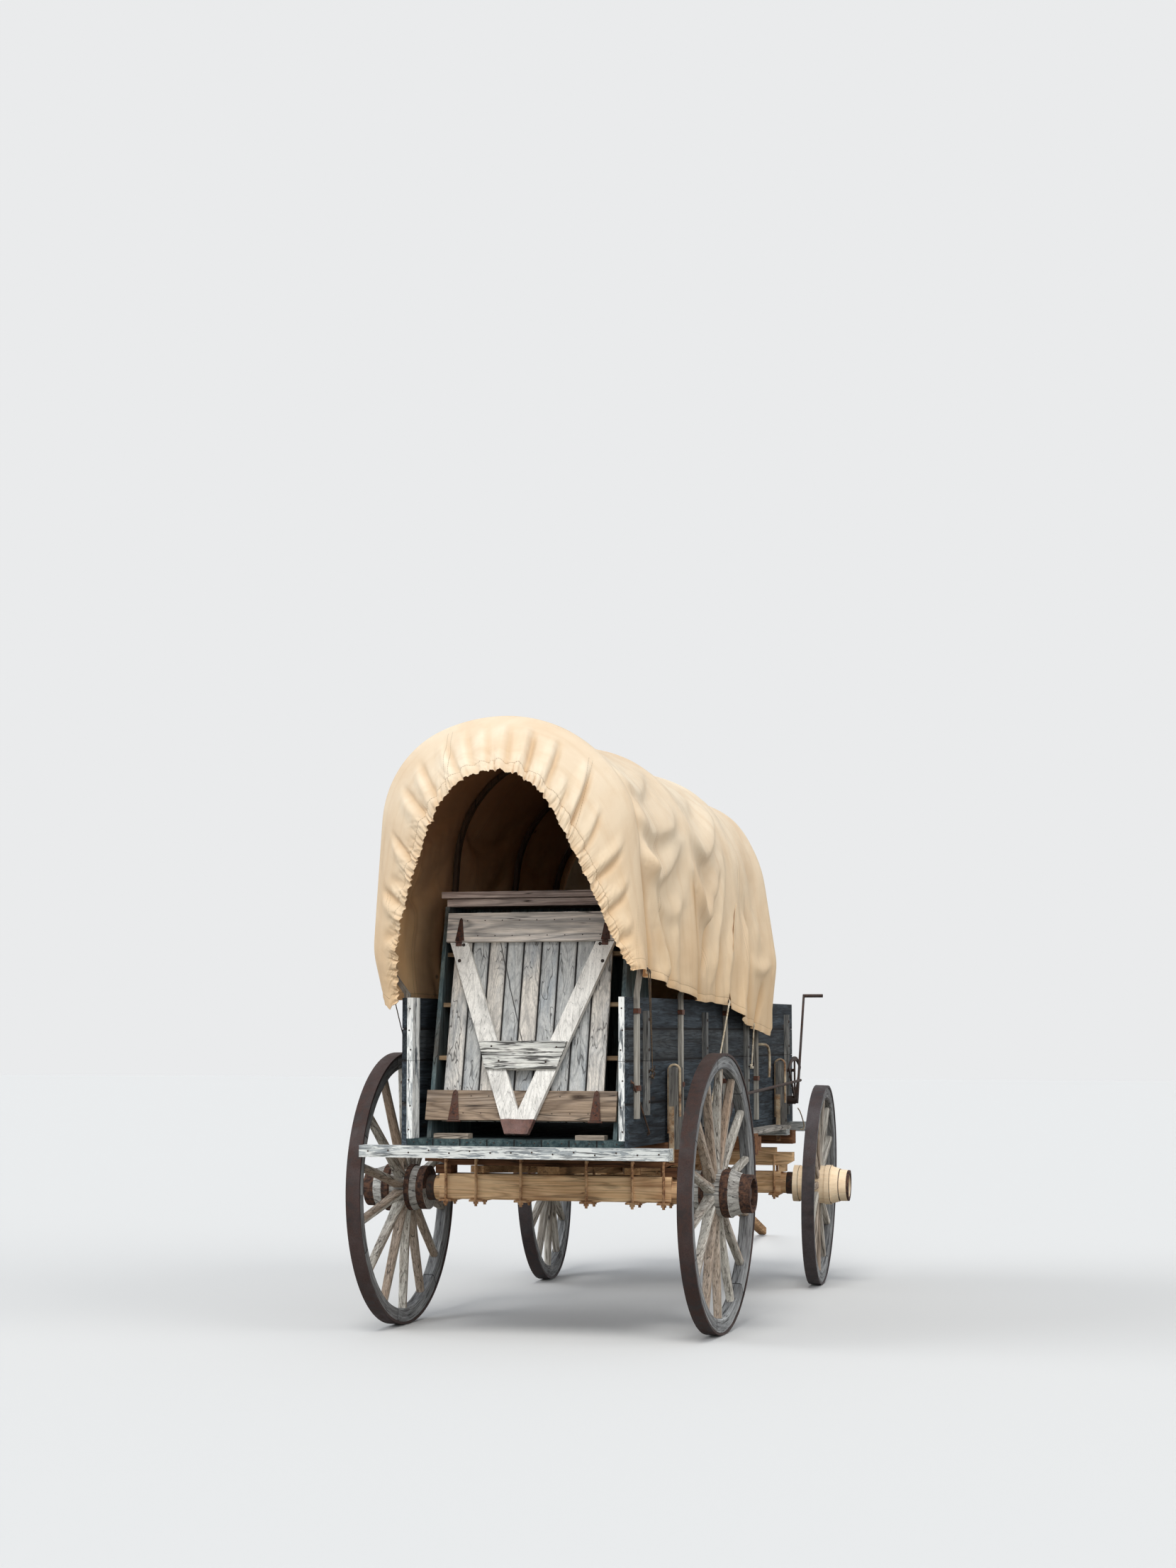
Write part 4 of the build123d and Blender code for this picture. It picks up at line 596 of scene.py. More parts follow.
mainSheetFacts = dict(
    # from station, to station, rows between
    rows=((0.86, 1, 5), (1, 2, 4), (2, 3, 54), (3, 4, 4), (4, 5, 58), (5, 6, 4), (6, 7, 46), (7, 8, 4)),
    columns=262,
    # sag between bows at the crown, the shoulder, the side and the hem, one row for each bay
    sagAt=(0.0, 0.45, 0.9, 1.3, 1.62),
    sag=((0.016, 0.030, 0.050, 0.040, 0.022), (0.012, 0.026, 0.040, 0.034, 0.016),
         (0.010, 0.020, 0.028, 0.026, 0.014)),
    sagPower=2.3,
    corner=(-0.335, 0.050, 0.034),  # where the hem curls out: y, half length and height
    shoulder=(0.45, 0.17, 0.016),  # a broad swell on the front bays: distance from the crown, width and height
    soft=(0.006, 0.0022), flutter=(0.010, 0.0045),  # heights of the soft noises over the cloth and along its hem
    smoothBehind=-0.600,  # behind this y there is nothing but the bulge that the rear sheet shares
    slitRow=4.90,
    slitTop=0.64,
    lap=0.032,  # how far the front part laps over the rear one below the slit's top
    # how far the slit's line leans from its row, by share down the side
    slitLean=[(0.50, 0.06), (0.63, 0.11), (0.78, -0.03), (0.90, -0.09), (1.0, -0.05)],
    hemRight=[(-0.60, 1.690), (-0.46, 1.674), (-0.402, 1.668), (-0.26, 1.640), (-0.173, 1.640), (-0.018, 1.618),
              (0.116, 1.606), (0.30, 1.580), (0.465, 1.566), (0.593, 1.572), (0.80, 1.560), (1.30, 1.548)],
    hemRightFront=[(0.90, 1.560), (1.057, 1.530), (1.216, 1.490), (1.342, 1.462), (1.522, 1.452), (1.70, 1.425),
                   (1.91, 1.400)],
    hemLeft=[(-0.60, 1.572), (-0.30, 1.566), (0.0, 1.562), (0.228, 1.560), (0.70, 1.556), (1.10, 1.560), (1.50, 1.480),
             (1.91, 1.420)],
    # route as (y, distance from the crown), height, width on its upper side, width below, fade
    foldsRight=[
        ([(-0.585, 0.47), (-0.47, 0.64), (-0.33, 0.685), (-0.18, 0.63), (0.03, 0.49), (0.20, 0.37)],
         0.023, 0.085, 0.040, 0.3),
        ([(-0.585, 0.70), (-0.50, 0.845), (-0.36, 0.900), (-0.20, 0.880), (0.02, 0.79), (0.20, 0.62)],
         0.043, 0.110, 0.045, 0.3),
        ([(-0.585, 0.84), (-0.50, 1.03), (-0.36, 1.115), (-0.22, 1.085), (0.01, 0.95), (0.20, 0.78)],
         0.052, 0.110, 0.050, 0.3),
        ([(-0.40, 1.08), (-0.30, 1.20), (-0.12, 1.25), (0.06, 1.16), (0.19, 1.00)], 0.023, 0.080, 0.050, 0.35),
        ([(-0.505, 0.98), (-0.43, 1.14), (-0.36, 1.30), (-0.27, 1.50), (-0.22, 1.66)], 0.038, 0.045, 0.040, 0.2),
        ([(-0.545, 0.30), (-0.535, 0.60), (-0.530, 0.90), (-0.525, 1.15), (-0.530, 1.40), (-0.52, 1.66)],
         -0.035, 0.040, 0.030, 0.2),
        ([(-0.505, 1.12), (-0.485, 1.32), (-0.470, 1.52), (-0.465, 1.72)], -0.050, 0.030, 0.024, 0.25),
        ([(-0.33, 1.16), (-0.24, 1.34), (-0.14, 1.52), (-0.10, 1.68)], -0.026, 0.040, 0.050, 0.25),
        ([(0.02, 1.12), (-0.02, 1.32), (-0.06, 1.50), (-0.03, 1.68)], 0.020, 0.045, 0.055, 0.25),
        ([(0.19, 0.62), (0.33, 0.84), (0.54, 0.885), (0.74, 0.80), (0.98, 0.62), (1.13, 0.50)],
         0.049, 0.100, 0.042, 0.3),
        ([(0.20, 0.88), (0.30, 1.08), (0.45, 1.205), (0.63, 1.12), (0.80, 0.96), (1.10, 0.70)],
         0.049, 0.095, 0.045, 0.3),
        ([(0.20, 0.40), (0.36, 0.56), (0.56, 0.60), (0.80, 0.50), (1.1, 0.32)], 0.014, 0.080, 0.050, 0.35),
        ([(0.215, 0.98), (0.250, 1.15), (0.270, 1.36), (0.345, 1.58), (0.38, 1.68)], -0.038, 0.030, 0.036, 0.2),
        ([(0.74, 1.01), (0.58, 1.22), (0.44, 1.40), (0.36, 1.52)], -0.029, 0.045, 0.035, 0.3),
        ([(1.02, 0.76), (0.93, 0.96), (0.80, 1.17), (0.62, 1.40), (0.52, 1.66)], 0.035, 0.055, 0.060, 0.25),
        ([(0.90, 1.22), (0.80, 1.40), (0.72, 1.60), (0.70, 1.70)], -0.017, 0.040, 0.040, 0.3),
        ([(1.12, 1.10), (0.98, 1.32), (0.90, 1.52), (0.89, 1.68)], 0.017, 0.040, 0.040, 0.3),
        ([(1.30, 0.62), (1.26, 0.86), (1.33, 1.10), (1.27, 1.33), (1.16, 1.62), (1.12, 1.74)],
         0.029, 0.050, 0.060, 0.2),
        ([(1.24, 0.98), (1.40, 1.20), (1.41, 1.40), (1.46, 1.64), (1.50, 1.78)], -0.032, 0.050, 0.045, 0.25),
        ([(1.40, 0.66), (1.50, 0.90), (1.60, 1.14), (1.66, 1.30)], 0.014, 0.060, 0.060, 0.3),
        ([(1.44, 1.345), (1.60, 1.385), (1.73, 1.36), (1.84, 1.30)], 0.020, 0.050, 0.030, 0.3),
        ([(1.74, 1.42), (1.69, 1.55), (1.62, 1.68), (1.60, 1.78)], -0.026, 0.030, 0.035, 0.25),
    ],
    foldsLeft=[
        ([(-0.585, 0.62), (-0.42, 0.80), (-0.22, 0.84), (0.0, 0.74), (0.20, 0.56)], 0.030, 0.100, 0.045, 0.3),
        ([(-0.585, 0.90), (-0.46, 1.10), (-0.26, 1.17), (-0.04, 1.06), (0.20, 0.84)], 0.040, 0.110, 0.050, 0.3),
        ([(-0.50, 1.12), (-0.42, 1.32), (-0.36, 1.52), (-0.34, 1.70)], 0.025, 0.045, 0.045, 0.25),
        ([(-0.545, 0.40), (-0.53, 0.80), (-0.525, 1.20), (-0.53, 1.60)], -0.025, 0.036, 0.030, 0.25),
        ([(0.06, 1.14), (0.02, 1.34), (0.04, 1.54), (0.06, 1.70)], -0.022, 0.045, 0.045, 0.25),
        ([(0.20, 0.54), (0.38, 0.76), (0.62, 0.82), (0.88, 0.72), (1.13, 0.50)], 0.033, 0.100, 0.045, 0.3),
        ([(0.20, 0.84), (0.40, 1.10), (0.60, 1.16), (0.86, 1.02), (1.12, 0.76)], 0.043, 0.100, 0.045, 0.3),
        ([(0.22, 1.02), (0.27, 1.26), (0.30, 1.50), (0.28, 1.70)], -0.030, 0.032, 0.040, 0.2),
        ([(0.62, 1.26), (0.66, 1.44), (0.64, 1.70)], 0.020, 0.055, 0.055, 0.3),
        ([(1.06, 0.98), (1.00, 1.26), (0.94, 1.50), (0.92, 1.70)], -0.022, 0.045, 0.045, 0.25),
        ([(1.18, 0.60), (1.36, 0.80), (1.56, 0.82), (1.84, 0.62)], 0.022, 0.090, 0.045, 0.3),
        ([(1.20, 0.92), (1.38, 1.14), (1.56, 1.16), (1.86, 0.92)], 0.027, 0.090, 0.045, 0.3),
        ([(1.26, 1.10), (1.34, 1.34), (1.36, 1.60), (1.38, 1.78)], -0.022, 0.045, 0.045, 0.25),
        ([(1.70, 1.20), (1.66, 1.45), (1.64, 1.75)], 0.020, 0.050, 0.050, 0.25),
    ],
)


# height that the main and rear sheets share: a soft bulge behind the rear bow
def rearBulge(w):
    return 0.024 * np.sin(np.pi * np.clip(w, 0, 1)) ** 1.2


# the cloth may not sink into a bow: beside one its height stays above a slope that falls away from the bow's edge
def clearOfBows(y, lift):
    places = np.array([bow[0] for bow in coverShape["bows"]])
    gap = np.abs(y[..., None] - places).min(-1) - coverShape["bowHalf"]
    floor = -np.clip(gap, 0, 1) * 1.3
    over = lift - floor
    return floor + 0.5 * (over + np.sqrt(over ** 2 + 0.003 ** 2))


# distance across the cloth to the nearer of the two lower hems
def hemDistance(run):
    return np.minimum(run.max(1, keepdims=True) - run, run - run.min(1, keepdims=True))


# from just behind the rear bow to the front bow. The height over the plain cloth is minus the sag, which grows from
# each bow to mid bay as one minus a power of the distance from mid bay, plus the folds and two soft noises
def makeMain():
    facts = mainSheetFacts
    frontBow = 8.0  # the last station but one
    levels = [np.linspace(start, stop, n, endpoint=False) for start, stop, n in facts["rows"]]
    levels = np.concatenate(levels + [[frontBow]])
    slit = int(np.argmin(np.abs(levels - facts["slitRow"])))
    w, a = np.meshgrid(levels, np.linspace(-1, 1, facts["columns"]), indexing="ij")
    stationY = [place[1] if k == 0 else place[0] for k, place in enumerate(coverShape["stations"])]
    y = np.interp(w, np.arange(10), stationY)
    # the rows lean with the slit's line
    lean = tableAt(-a, facts["slitLean"], left=0.0) * np.clip((-a - 0.35) / 0.2, 0, 1)
    y = y + lean * np.exp(-((y - y[slit, 0]) / 0.30) ** 2)
    w = np.clip(np.interp(y, stationY, np.arange(10)), w.min(), frontBow)
    hemLeft = tableAt(y, facts["hemLeft"])
    plain, _ = plainCloth(w, a, np.full(w.shape, 1.55), hemLeft)
    normals = outward(soften(plain))
    halves, runs, edges, flats = [], [], [], []
    for rows, table in ((slice(0, slit + 1), "hemRight"), (slice(slit, None), "hemRightFront")):
        points, run = plainCloth(w, a, tableAt(y, facts[table]), hemLeft)
        points = soften(points)
        yy, down = points[..., 1], np.abs(run)
        bay = np.clip((np.floor(w).astype(int) - 2) // 2, 0, 2)
        t = np.clip(w - 2 - 2 * bay, 0, 1)
        amount = np.stack([np.interp(down, facts["sagAt"], row) for row in facts["sag"]])
        sag = np.take_along_axis(amount, bay[None], 0)[0] * (1 - np.abs(2 * t - 1) ** facts["sagPower"])
        folds = np.zeros(w.shape)
        for side, label in ((1, "foldsRight"), (-1, "foldsLeft")):
            columns = np.any(run * side > 0, axis=0)
            for parts in facts[label]:
                folds[:, columns] += fold(yy[:, columns], down[:, columns], *parts)
        calm = 1 - np.abs(2 * t - 1) ** 4
        swellAt, swellHalf, swell = facts["shoulder"]
        folds += swell * np.exp(-((down - swellAt) / swellHalf) ** 2) * np.clip((yy - 0.9) / 0.4, 0, 1)
        folds += ripple(yy, run, 11, 0.40) * facts["soft"][0] * calm
        folds += ripple(yy * 1.5, run * 0.55, 12, 0.15) * facts["soft"][1] * (0.4 + 0.6 * calm)
        edge = hemDistance(run)
        flutter = np.exp(-edge / 0.10)
        cornerY, cornerHalf, cornerRise = facts["corner"]
        folds += cornerRise * np.exp(-((yy - cornerY) / cornerHalf) ** 2 - (edge / 0.07) ** 2) * (run > 0)
        folds += flutter * facts["flutter"][0] * ripple(yy, yy * 0, 21, 0.24, 2)
        folds += flutter * facts["flutter"][1] * ripple(yy, yy * 0, 22, 0.07, 2)
        ahead = np.clip((yy - facts["smoothBehind"]) / 0.03, 0, 1)
        lift = clearOfBows(yy, (folds - sag) * ahead) * ahead + rearBulge(w)
        # the hem's doubled cloth stands out a little, with a groove along its stitches
        lift += 0.0022 * np.exp(-((edge - 0.015) / 0.012) ** 2) - 0.002 * np.exp(-((edge - 0.034) / 0.006) ** 2)
        halves.append((points + normals * lift[..., None])[rows])
        runs.append(run[rows])
        edges.append(edge[rows])
        flats.append((folds * ahead)[rows])
    # below the slit's top the front part laps over the rear one, with a loose ragged edge
    apart = np.clip((np.abs(a[slit]) - facts["slitTop"]) / 0.08, 0, 1) * (a[slit] < 0)
    ragged = ripple(runs[1][0], runs[1][0] * 0, 31, 0.07, 2)
    halves[0][-1] += apart[:, None] * (np.array([0, 0.020, 0]) - normals[slit] * 0.004)
    halves[1][0] += apart[:, None] * (np.array([0, -1, 0]) * (facts["lap"] + 0.008 * ragged)[:, None]
                                      + normals[slit] * (0.006 + 0.003 * ragged)[:, None])
    edges[1][0] = np.where(apart > 0, 0.0, edges[1][0])
    columns = facts["columns"]
    rear = np.arange((slit + 1) * columns).reshape(-1, columns)
    front = rear.size + np.arange(len(halves[1]) * columns).reshape(-1, columns)
    front[0] = np.where(apart > 0, front[0], rear[-1])
    points = np.concatenate([half.reshape(-1, 3) for half in halves])
    run, edge, flat = (np.concatenate([v.ravel() for v in values]) for values in (runs, edges, flats))
    return points, [rear, front], np.stack([run + 3, points[:, 1] + 3], 1), edge, flat


canvasMain = sheetFrom("canvas_main", *makeMain(), canvasOuter, canvasInner)
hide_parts("cover")

rearSheetFacts = dict(
    columns=780,
    rows=38,
    reach=0.33,  # rough length from the mouth to the bow
    casing=0.050,
    inside=(-0.046, -0.034, -0.022, -0.012, -0.005),  # rows turned back inside, by their distance from the rim
    turnedIn=0.0075,  # how far those lie under the outer layer
    # gathers, from the rim's ridges with puckers on them to the broad ones further in: height, seed, pitch,
    # unevenness and sharpness
    ridges=(0.0150, 51, 0.033, 0.6, 0.6), puckers=(0.0055, 52, 0.015, 0.6), middling=(0.0060, 57, 0.047, 0.7, 0.8),
    broad=(0.0075, 53, 0.082, 0.5, 0.9), ragged=(0.0038, 54, 0.021, 0.5),
    # across the rows from mouth (0) to bow (1): hem levels
    hemRight=[(0.0, 1.697), (1.0, 1.692)],
    hemLeft=[(0.0, 1.552), (0.25, 1.545), (0.33, 1.526), (0.45, 1.536), (0.52, 1.545), (1.0, 1.562)],
    # pleats: share of the way to the bow and distance from the crown (right is positive), at the bow and the mouth
    pleats=[
        (0.90, -0.175, 0.10, -0.110, 0.008), (0.95, -0.068, 0.10, -0.034, 0.007), (0.92, 0.056, 0.10, 0.050, 0.009),
        (0.90, 0.180, 0.08, 0.142, 0.016), (0.86, 0.318, 0.10, 0.262, 0.014), (0.88, 0.515, 0.10, 0.470, 0.018),
        (0.85, -0.288, 0.12, -0.190, 0.010), (0.80, -0.440, 0.12, -0.345, 0.012), (0.78, -0.580, 0.10, -0.445, 0.013),
        (0.66, -0.765, 0.12, -0.660, 0.013), (0.76, -1.080, 0.06, -0.860, 0.014), (0.60, 0.640, 0.08, 0.600, 0.012),
        (0.72, 0.900, 0.08, 0.730, 0.014), (0.66, 1.060, 0.06, 0.880, 0.013), (0.50, 1.200, 0.06, 1.000, 0.011),
        (0.50, -0.930, 0.08, -0.760, 0.010), (0.50, -1.210, 0.05, -0.980, 0.010), (0.45, 0.400, 0.08, 0.372, 0.010),
    ],
)


# what sheetFrom needs of a gathered sheet: its points, one grid, its flat places, its edge and its folds
def gatheredSheet(points, run, e, folds):
    edge = np.minimum(hemDistance(run), np.abs(e))
    grid = np.arange(run.size).reshape(run.shape)
    return points.reshape(-1, 3), [grid], np.stack([run + 3, e + 1], -1).reshape(-1, 2), edge.ravel(), folds.ravel()


# from the drawn mouth to the rear bow. e is the distance from the rim, and rows with e below zero turn back inside
# as the casing's inner layer. Height is a soft bulge, pleats as a valley with a ridge on its left, and gathers
# that die away from the rim
def makeRear():
    facts = rearSheetFacts
    reach, casing, inside = facts["reach"], facts["casing"], facts["inside"]
    e = np.concatenate([inside, reach * coverShape["joinAt"] * np.linspace(0, 1, facts["rows"]) ** 1.35])
    e, a = np.meshgrid(e, np.linspace(-1, 1, facts["columns"]), indexing="ij")
    w = np.abs(e) / reach
    rimRow = len(inside)
    points, run = plainCloth(w, a, tableAt(w, facts["hemRight"]), tableAt(w, facts["hemLeft"]), keep=0.75)
    normals = outward(points[rimRow:])
    normals = np.concatenate([normals[1:rimRow + 1][::-1], normals])
    rim = run[rimRow] + np.zeros(w.shape)
    out = np.abs(e)
    slant = rim + 0.42 * out * ripple(rim, rim * 0, 41, 0.16, 2)
    lift = rearBulge(w)
    for wBow, sBow, wMouth, sMouth, deep in facts["pleats"]:
        middle = ((wBow + wMouth) / 2 * reach, (sBow + sMouth) / 2 + 0.004)
        gap, where = besideLine(w * reach, run, [(wBow * reach, sBow), middle, (wMouth * reach, sMouth)])
        along = eased(np.clip(where / 0.5, 0, 1) * np.clip((1 - where) / 0.08, 0.5, 1))
        lift += 1.25 * deep * along * (0.8 * np.exp(-((gap - 0.034) / 0.026) ** 2) - np.exp(-(gap / 0.017) ** 2))
    close = np.exp(-(out / 0.060) ** 2)
    wide = np.exp(-out / 0.085)
    lift += close * (gathers(slant, *facts["ridges"]) - 0.007 + gathers(slant, *facts["puckers"]))
    lift += np.exp(-((out - 0.05) / 0.05) ** 2) * (gathers(slant + 0.8 * out, *facts["middling"]) - 0.0024)
    lift += wide * (gathers(slant * 0.97, *facts["broad"]) - 0.004)
    lift += 0.004 * np.sin(np.pi * np.clip(out / casing, 0, 1)) - 0.0025 * np.exp(-((out - casing) / 0.007) ** 2)
    lift += ripple(rim, out * 1.2, 43, 0.14) * 0.0022 * np.clip(1 - w, 0.15, 1)
    lift += ripple(rim, out * 2, 44, 0.045) * 0.0012 * wide
    lift = np.where(e < 0, lift - facts["turnedIn"] * np.sqrt(np.clip(out / 0.01, 0, 1)), lift)
    settle = np.clip((coverShape["joinAt"] - w) / 0.12, 0, 1)
    lift = rearBulge(w) + (lift - rearBulge(w)) * settle
    moved = points + normals * lift[..., None]
    toward = points[rimRow] - points[rimRow + 3]
    toward /= np.linalg.norm(toward, axis=1, keepdims=True)
    ragged = gathers(slant[rimRow], *facts["ragged"]) + 0.002 * ripple(rim[rimRow], rim[rimRow] * 0, 45, 0.03, 2)
    moved += toward[None] * (ragged * np.exp(-(out / 0.03) ** 2))[..., None]
    return gatheredSheet(moved, run, e, lift - rearBulge(w))


canvasRear = sheetFrom("canvas_rear", *makeRear(), canvasRim, canvasInner)

frontSheetFacts = dict(columns=460, rows=22, reach=0.34, hem=[(0.0, 1.40), (1.0, 1.50)], bulge=0.022, turnedIn=0.0075,
                       inside=(-0.040, -0.022, -0.008), ridges=(0.010, 62, 0.031),
                       broad=(0.009, 63, 0.085, 0.45, 0.9))


# from the front bow to the front mouth, gathered the same way with coarser puckers
def makeFront():
    facts = frontSheetFacts
    reach, inside = facts["reach"], facts["inside"]
    e = np.concatenate([inside, reach * np.linspace(0, 1, facts["rows"]) ** 1.3])[::-1]
    e, a = np.meshgrid(e, np.linspace(-1, 1, facts["columns"]), indexing="ij")
    out = np.abs(e)
    w = 8.99999 - out / reach * 0.99999  # from the mouth's station back to the bow's, and never quite on the mouth's
    level = tableAt(w - 8, facts["hem"])
    points, run = plainCloth(w, a, level, level)
    last = facts["rows"]
    normals = outward(points[:last])
    normals = np.concatenate([normals, normals[-2:-2 - len(inside):-1]])
    rim = run[last - 1] + np.zeros(w.shape)
    slant = rim + 0.2 * out * ripple(rim, rim * 0, 61, 0.2, 2)
    lift = facts["bulge"] * np.sin(np.pi * (w - 8)) ** 1.2
    lift += np.exp(-(out / 0.07) ** 2) * (gathers(slant, *facts["ridges"]) - 0.005)
    lift += np.exp(-out / 0.10) * (gathers(slant, *facts["broad"]) - 0.005)
    lift += ripple(rim, out * 1.2, 64, 0.16) * 0.003 * np.clip(1.2 - out / reach, 0, 1)
    lift = np.where(e < 0, lift - facts["turnedIn"] * np.sqrt(np.clip(out / 0.01, 0, 1)), lift)
    settle = np.clip(out.max() - out, 0, 0.04) / 0.04
    lift = lift * settle
    return gatheredSheet(points + normals * lift[..., None], run, e, lift)


canvasFront = sheetFrom("canvas_front", *makeFront(), canvasRim, canvasInner)

curtainFacts = dict(y=1.985, inset=0.036, low=1.47, wideAt=2.0, columns=150, rows=40,
                    pleats=(0.016, 91, 0.11, 0.4, 1.2))


# a curtain closes the front: it hangs from the front bow's line to the gate, its height following the arch, with
# folds that deepen as they fall
def makeCurtain():
    facts = curtainFacts
    u, t = np.meshgrid(np.linspace(-1, 1, facts["columns"]), np.linspace(0, 1, facts["rows"]), indexing="xy")
    right, left = arches[8][1], arches[8][-1]
    level = -facts["wideAt"]  # the curtain is as wide as the arch is at this height, less its inset
    half = np.where(u > 0, np.interp(level, -right[2], right[1]), -np.interp(level, -left[2], left[1]))
    half = half - facts["inset"]
    x = u * half
    reachX = np.concatenate([left[1][::-1], right[1][1:]])
    reachZ = np.concatenate([left[2][::-1], right[2][1:]])
    inside = np.diff(reachX, prepend=-9) > 0
    top = np.interp(x * (half + facts["inset"]) / half, reachX[inside], reachZ[inside]) - facts["inset"] * 1.4
    z = top + (facts["low"] + 0.010 * np.sin(u * 9) - top) * t
    deep = t * (gathers(u * 0.6, *facts["pleats"]) - 0.0064) + 0.01 * ripple(u, t, 92, 0.5)
    points = np.stack([x, facts["y"] - 0.02 * (1 - t) + deep, z], -1)
    edge = np.minimum((1 - np.abs(u)) * half, (1 - t) * 1.2)
    grid = np.arange(u.size).reshape(u.shape)
    return points.reshape(-1, 3), [grid], np.stack([x + 3, z], -1).reshape(-1, 2), edge.ravel(), deep.ravel()


canvasCurtain = sheetFrom("canvas_curtain", *makeCurtain(), canvasOuter, canvasInner)
for piece in (canvasMain, canvasRear, canvasFront, canvasCurtain):
    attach(piece, "wagon")
    spots = np.array([v.co for v in piece.data.vertices])
    print(piece.name, "area", round(sum(p.area for p in piece.data.polygons), 2), spots.min(0), spots.max(0))

print("canvas made")


# what each carried-over node is made of
wheels = {}
for wheel, side in (("rear_right", 1), ("rear_left", -1), ("front_right", 1), ("front_left", -1)):
    low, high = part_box(wheel + "_tyre")
    wheels[wheel] = dict(centre=tuple((low + high) / 2), side=side, radius=(high.z - low.z) / 2)

boardSeams = (1.093, 1.289, 1.436)  # heights of the open joints in the sides and the gate
timber = {  # nodes: grain, three tones, the stain and what else shows
    ("side_lower_left", "side_lower_right", "side_upper_left", "side_upper_right"): dict(
        grain="y", tones=((84, 94, 102), (43, 50, 57), (14, 17, 20)), seams=boardSeams, seed=2.0,
        stain=(26, 32, 38), stained=0.8, second=(66, 66, 64), spread=0.35, seamWidth=0.0042, rings=0.5, knots=0.7,
        flecks=(60.0, 5.0, 0.54, 0.6)),
    ("front_gate",): dict(
        grain="x", tones=((88, 98, 106), (48, 56, 63), (16, 20, 23)), seams=boardSeams, seed=4.0,
        stain=(30, 36, 42), stained=0.8, spread=0.3, seamWidth=0.0042, rings=0.5),
    ("floor_boards",): dict(
        grain="y", tones=((82, 98, 98), (38, 56, 60), (14, 24, 28)), boards=(-0.5275, 0.131875),
        stain=(30, 42, 46), seed=5.0, spread=0.3),
    ("step_board",): dict(
        grain="y", tones=((206, 200, 190), (156, 152, 146), (66, 62, 60)), stain=(110, 104, 98),
        flecks=(110.0, 8.0, 0.52, 0.7)),
    ("cross_sills",): dict(
        grain="x", tones=((208, 210, 206), (150, 158, 162), (66, 74, 82)), stain=(104, 114, 122),
        paint=((224, 226, 222), 0.47, 0.7), flecks=(110.0, 9.0, 0.53, 0.7), knots=0.3),
    ("rear_posts",): dict(
        grain="z", tones=((208, 210, 208), (150, 158, 162), (50, 58, 66)), stain=(112, 120, 126),
        paint=((232, 233, 230), 0.40, 0.9), flecks=(80.0, 7.0, 0.55, 0.85), knots=0.3),
    ("side_cleats",): dict(
        grain="z", tones=((150, 148, 142), (104, 105, 104), (44, 45, 47)), stain=(64, 66, 68),
        flecks=(120.0, 9.0, 0.54, 0.6)),
    ("bows",): dict(
        grain="z", tones=((186, 182, 172), (140, 136, 128), (60, 54, 48)), stain=(96, 88, 78), knots=0.2,
        fade=(1.50, 1.85, (92, 64, 42), 0.9)),
    ("cupboard",): dict(
        grain="z", tones=((112, 126, 126), (74, 92, 96), (32, 40, 43)), stain=(84, 66, 52), stained=0.7),
    ("cupboard_shelves",): dict(grain="x", tones=((186, 162, 130), (146, 120, 92), (64, 48, 36)), stain=(96, 74, 54)),
    ("cupboard_top",): dict(
        grain="x", tones=((226, 208, 198), (178, 158, 150), (84, 70, 68)), stain=(128, 112, 108), rings=0.4),
    # above 1.5 m the battens take paler grey tones: partly their own grey, partly painted light that offsets the shade
    # falling on the top of the lid
    ("lid_battens",): dict(
        grain="x", tones=((166, 146, 126), (130, 112, 94), (66, 52, 44)),
        upper=(1.5, (252, 240, 226), (206, 200, 194), (88, 88, 90)), stain=(150, 144, 138), stained=0.45,
        rings=0.55, knots=0.9, ringPitch=9.0),
    # the leg's fade is painted light: it pales the leg towards the top, offsetting the shade that the cover casts there
    ("leg",): dict(
        grain="z", tones=((236, 233, 227), (216, 213, 207), (104, 102, 100)), stain=(184, 182, 178), stained=0.45,
        rings=0.25, fibres=0.22, flecks=(230.0, 18.0, 0.60, 0.5), knots=0.1, checks=0.35,
        fade=(1.2, 1.75, (251, 248, 241), 0.85)),
    ("rear_axle", "front_axle", "sand_board"): dict(
        grain="x", tones=((252, 218, 174), (238, 198, 150), (130, 84, 54)), stain=(168, 114, 74), stained=0.65,
        rings=0.4, fibres=0.2, knots=0.3, checks=0.5),
    ("rear_hounds", "front_hounds", "reach", "tongue"): dict(
        grain="y", tones=((198, 160, 118), (160, 122, 84), (80, 54, 36)), stain=(108, 76, 52), knots=0.4),
    ("rear_bolster", "front_bolster", "brake_beam", "brake_blocks"): dict(
        grain="x", tones=((140, 98, 68), (98, 64, 42), (38, 24, 18)), stain=(58, 38, 26), knots=0.3),
    ("stakes",): dict(
        grain="z", tones=((152, 148, 140), (108, 106, 102), (44, 44, 46)), stain=(72, 70, 68),
        flecks=(110.0, 8.0, 0.54, 0.6)),
}
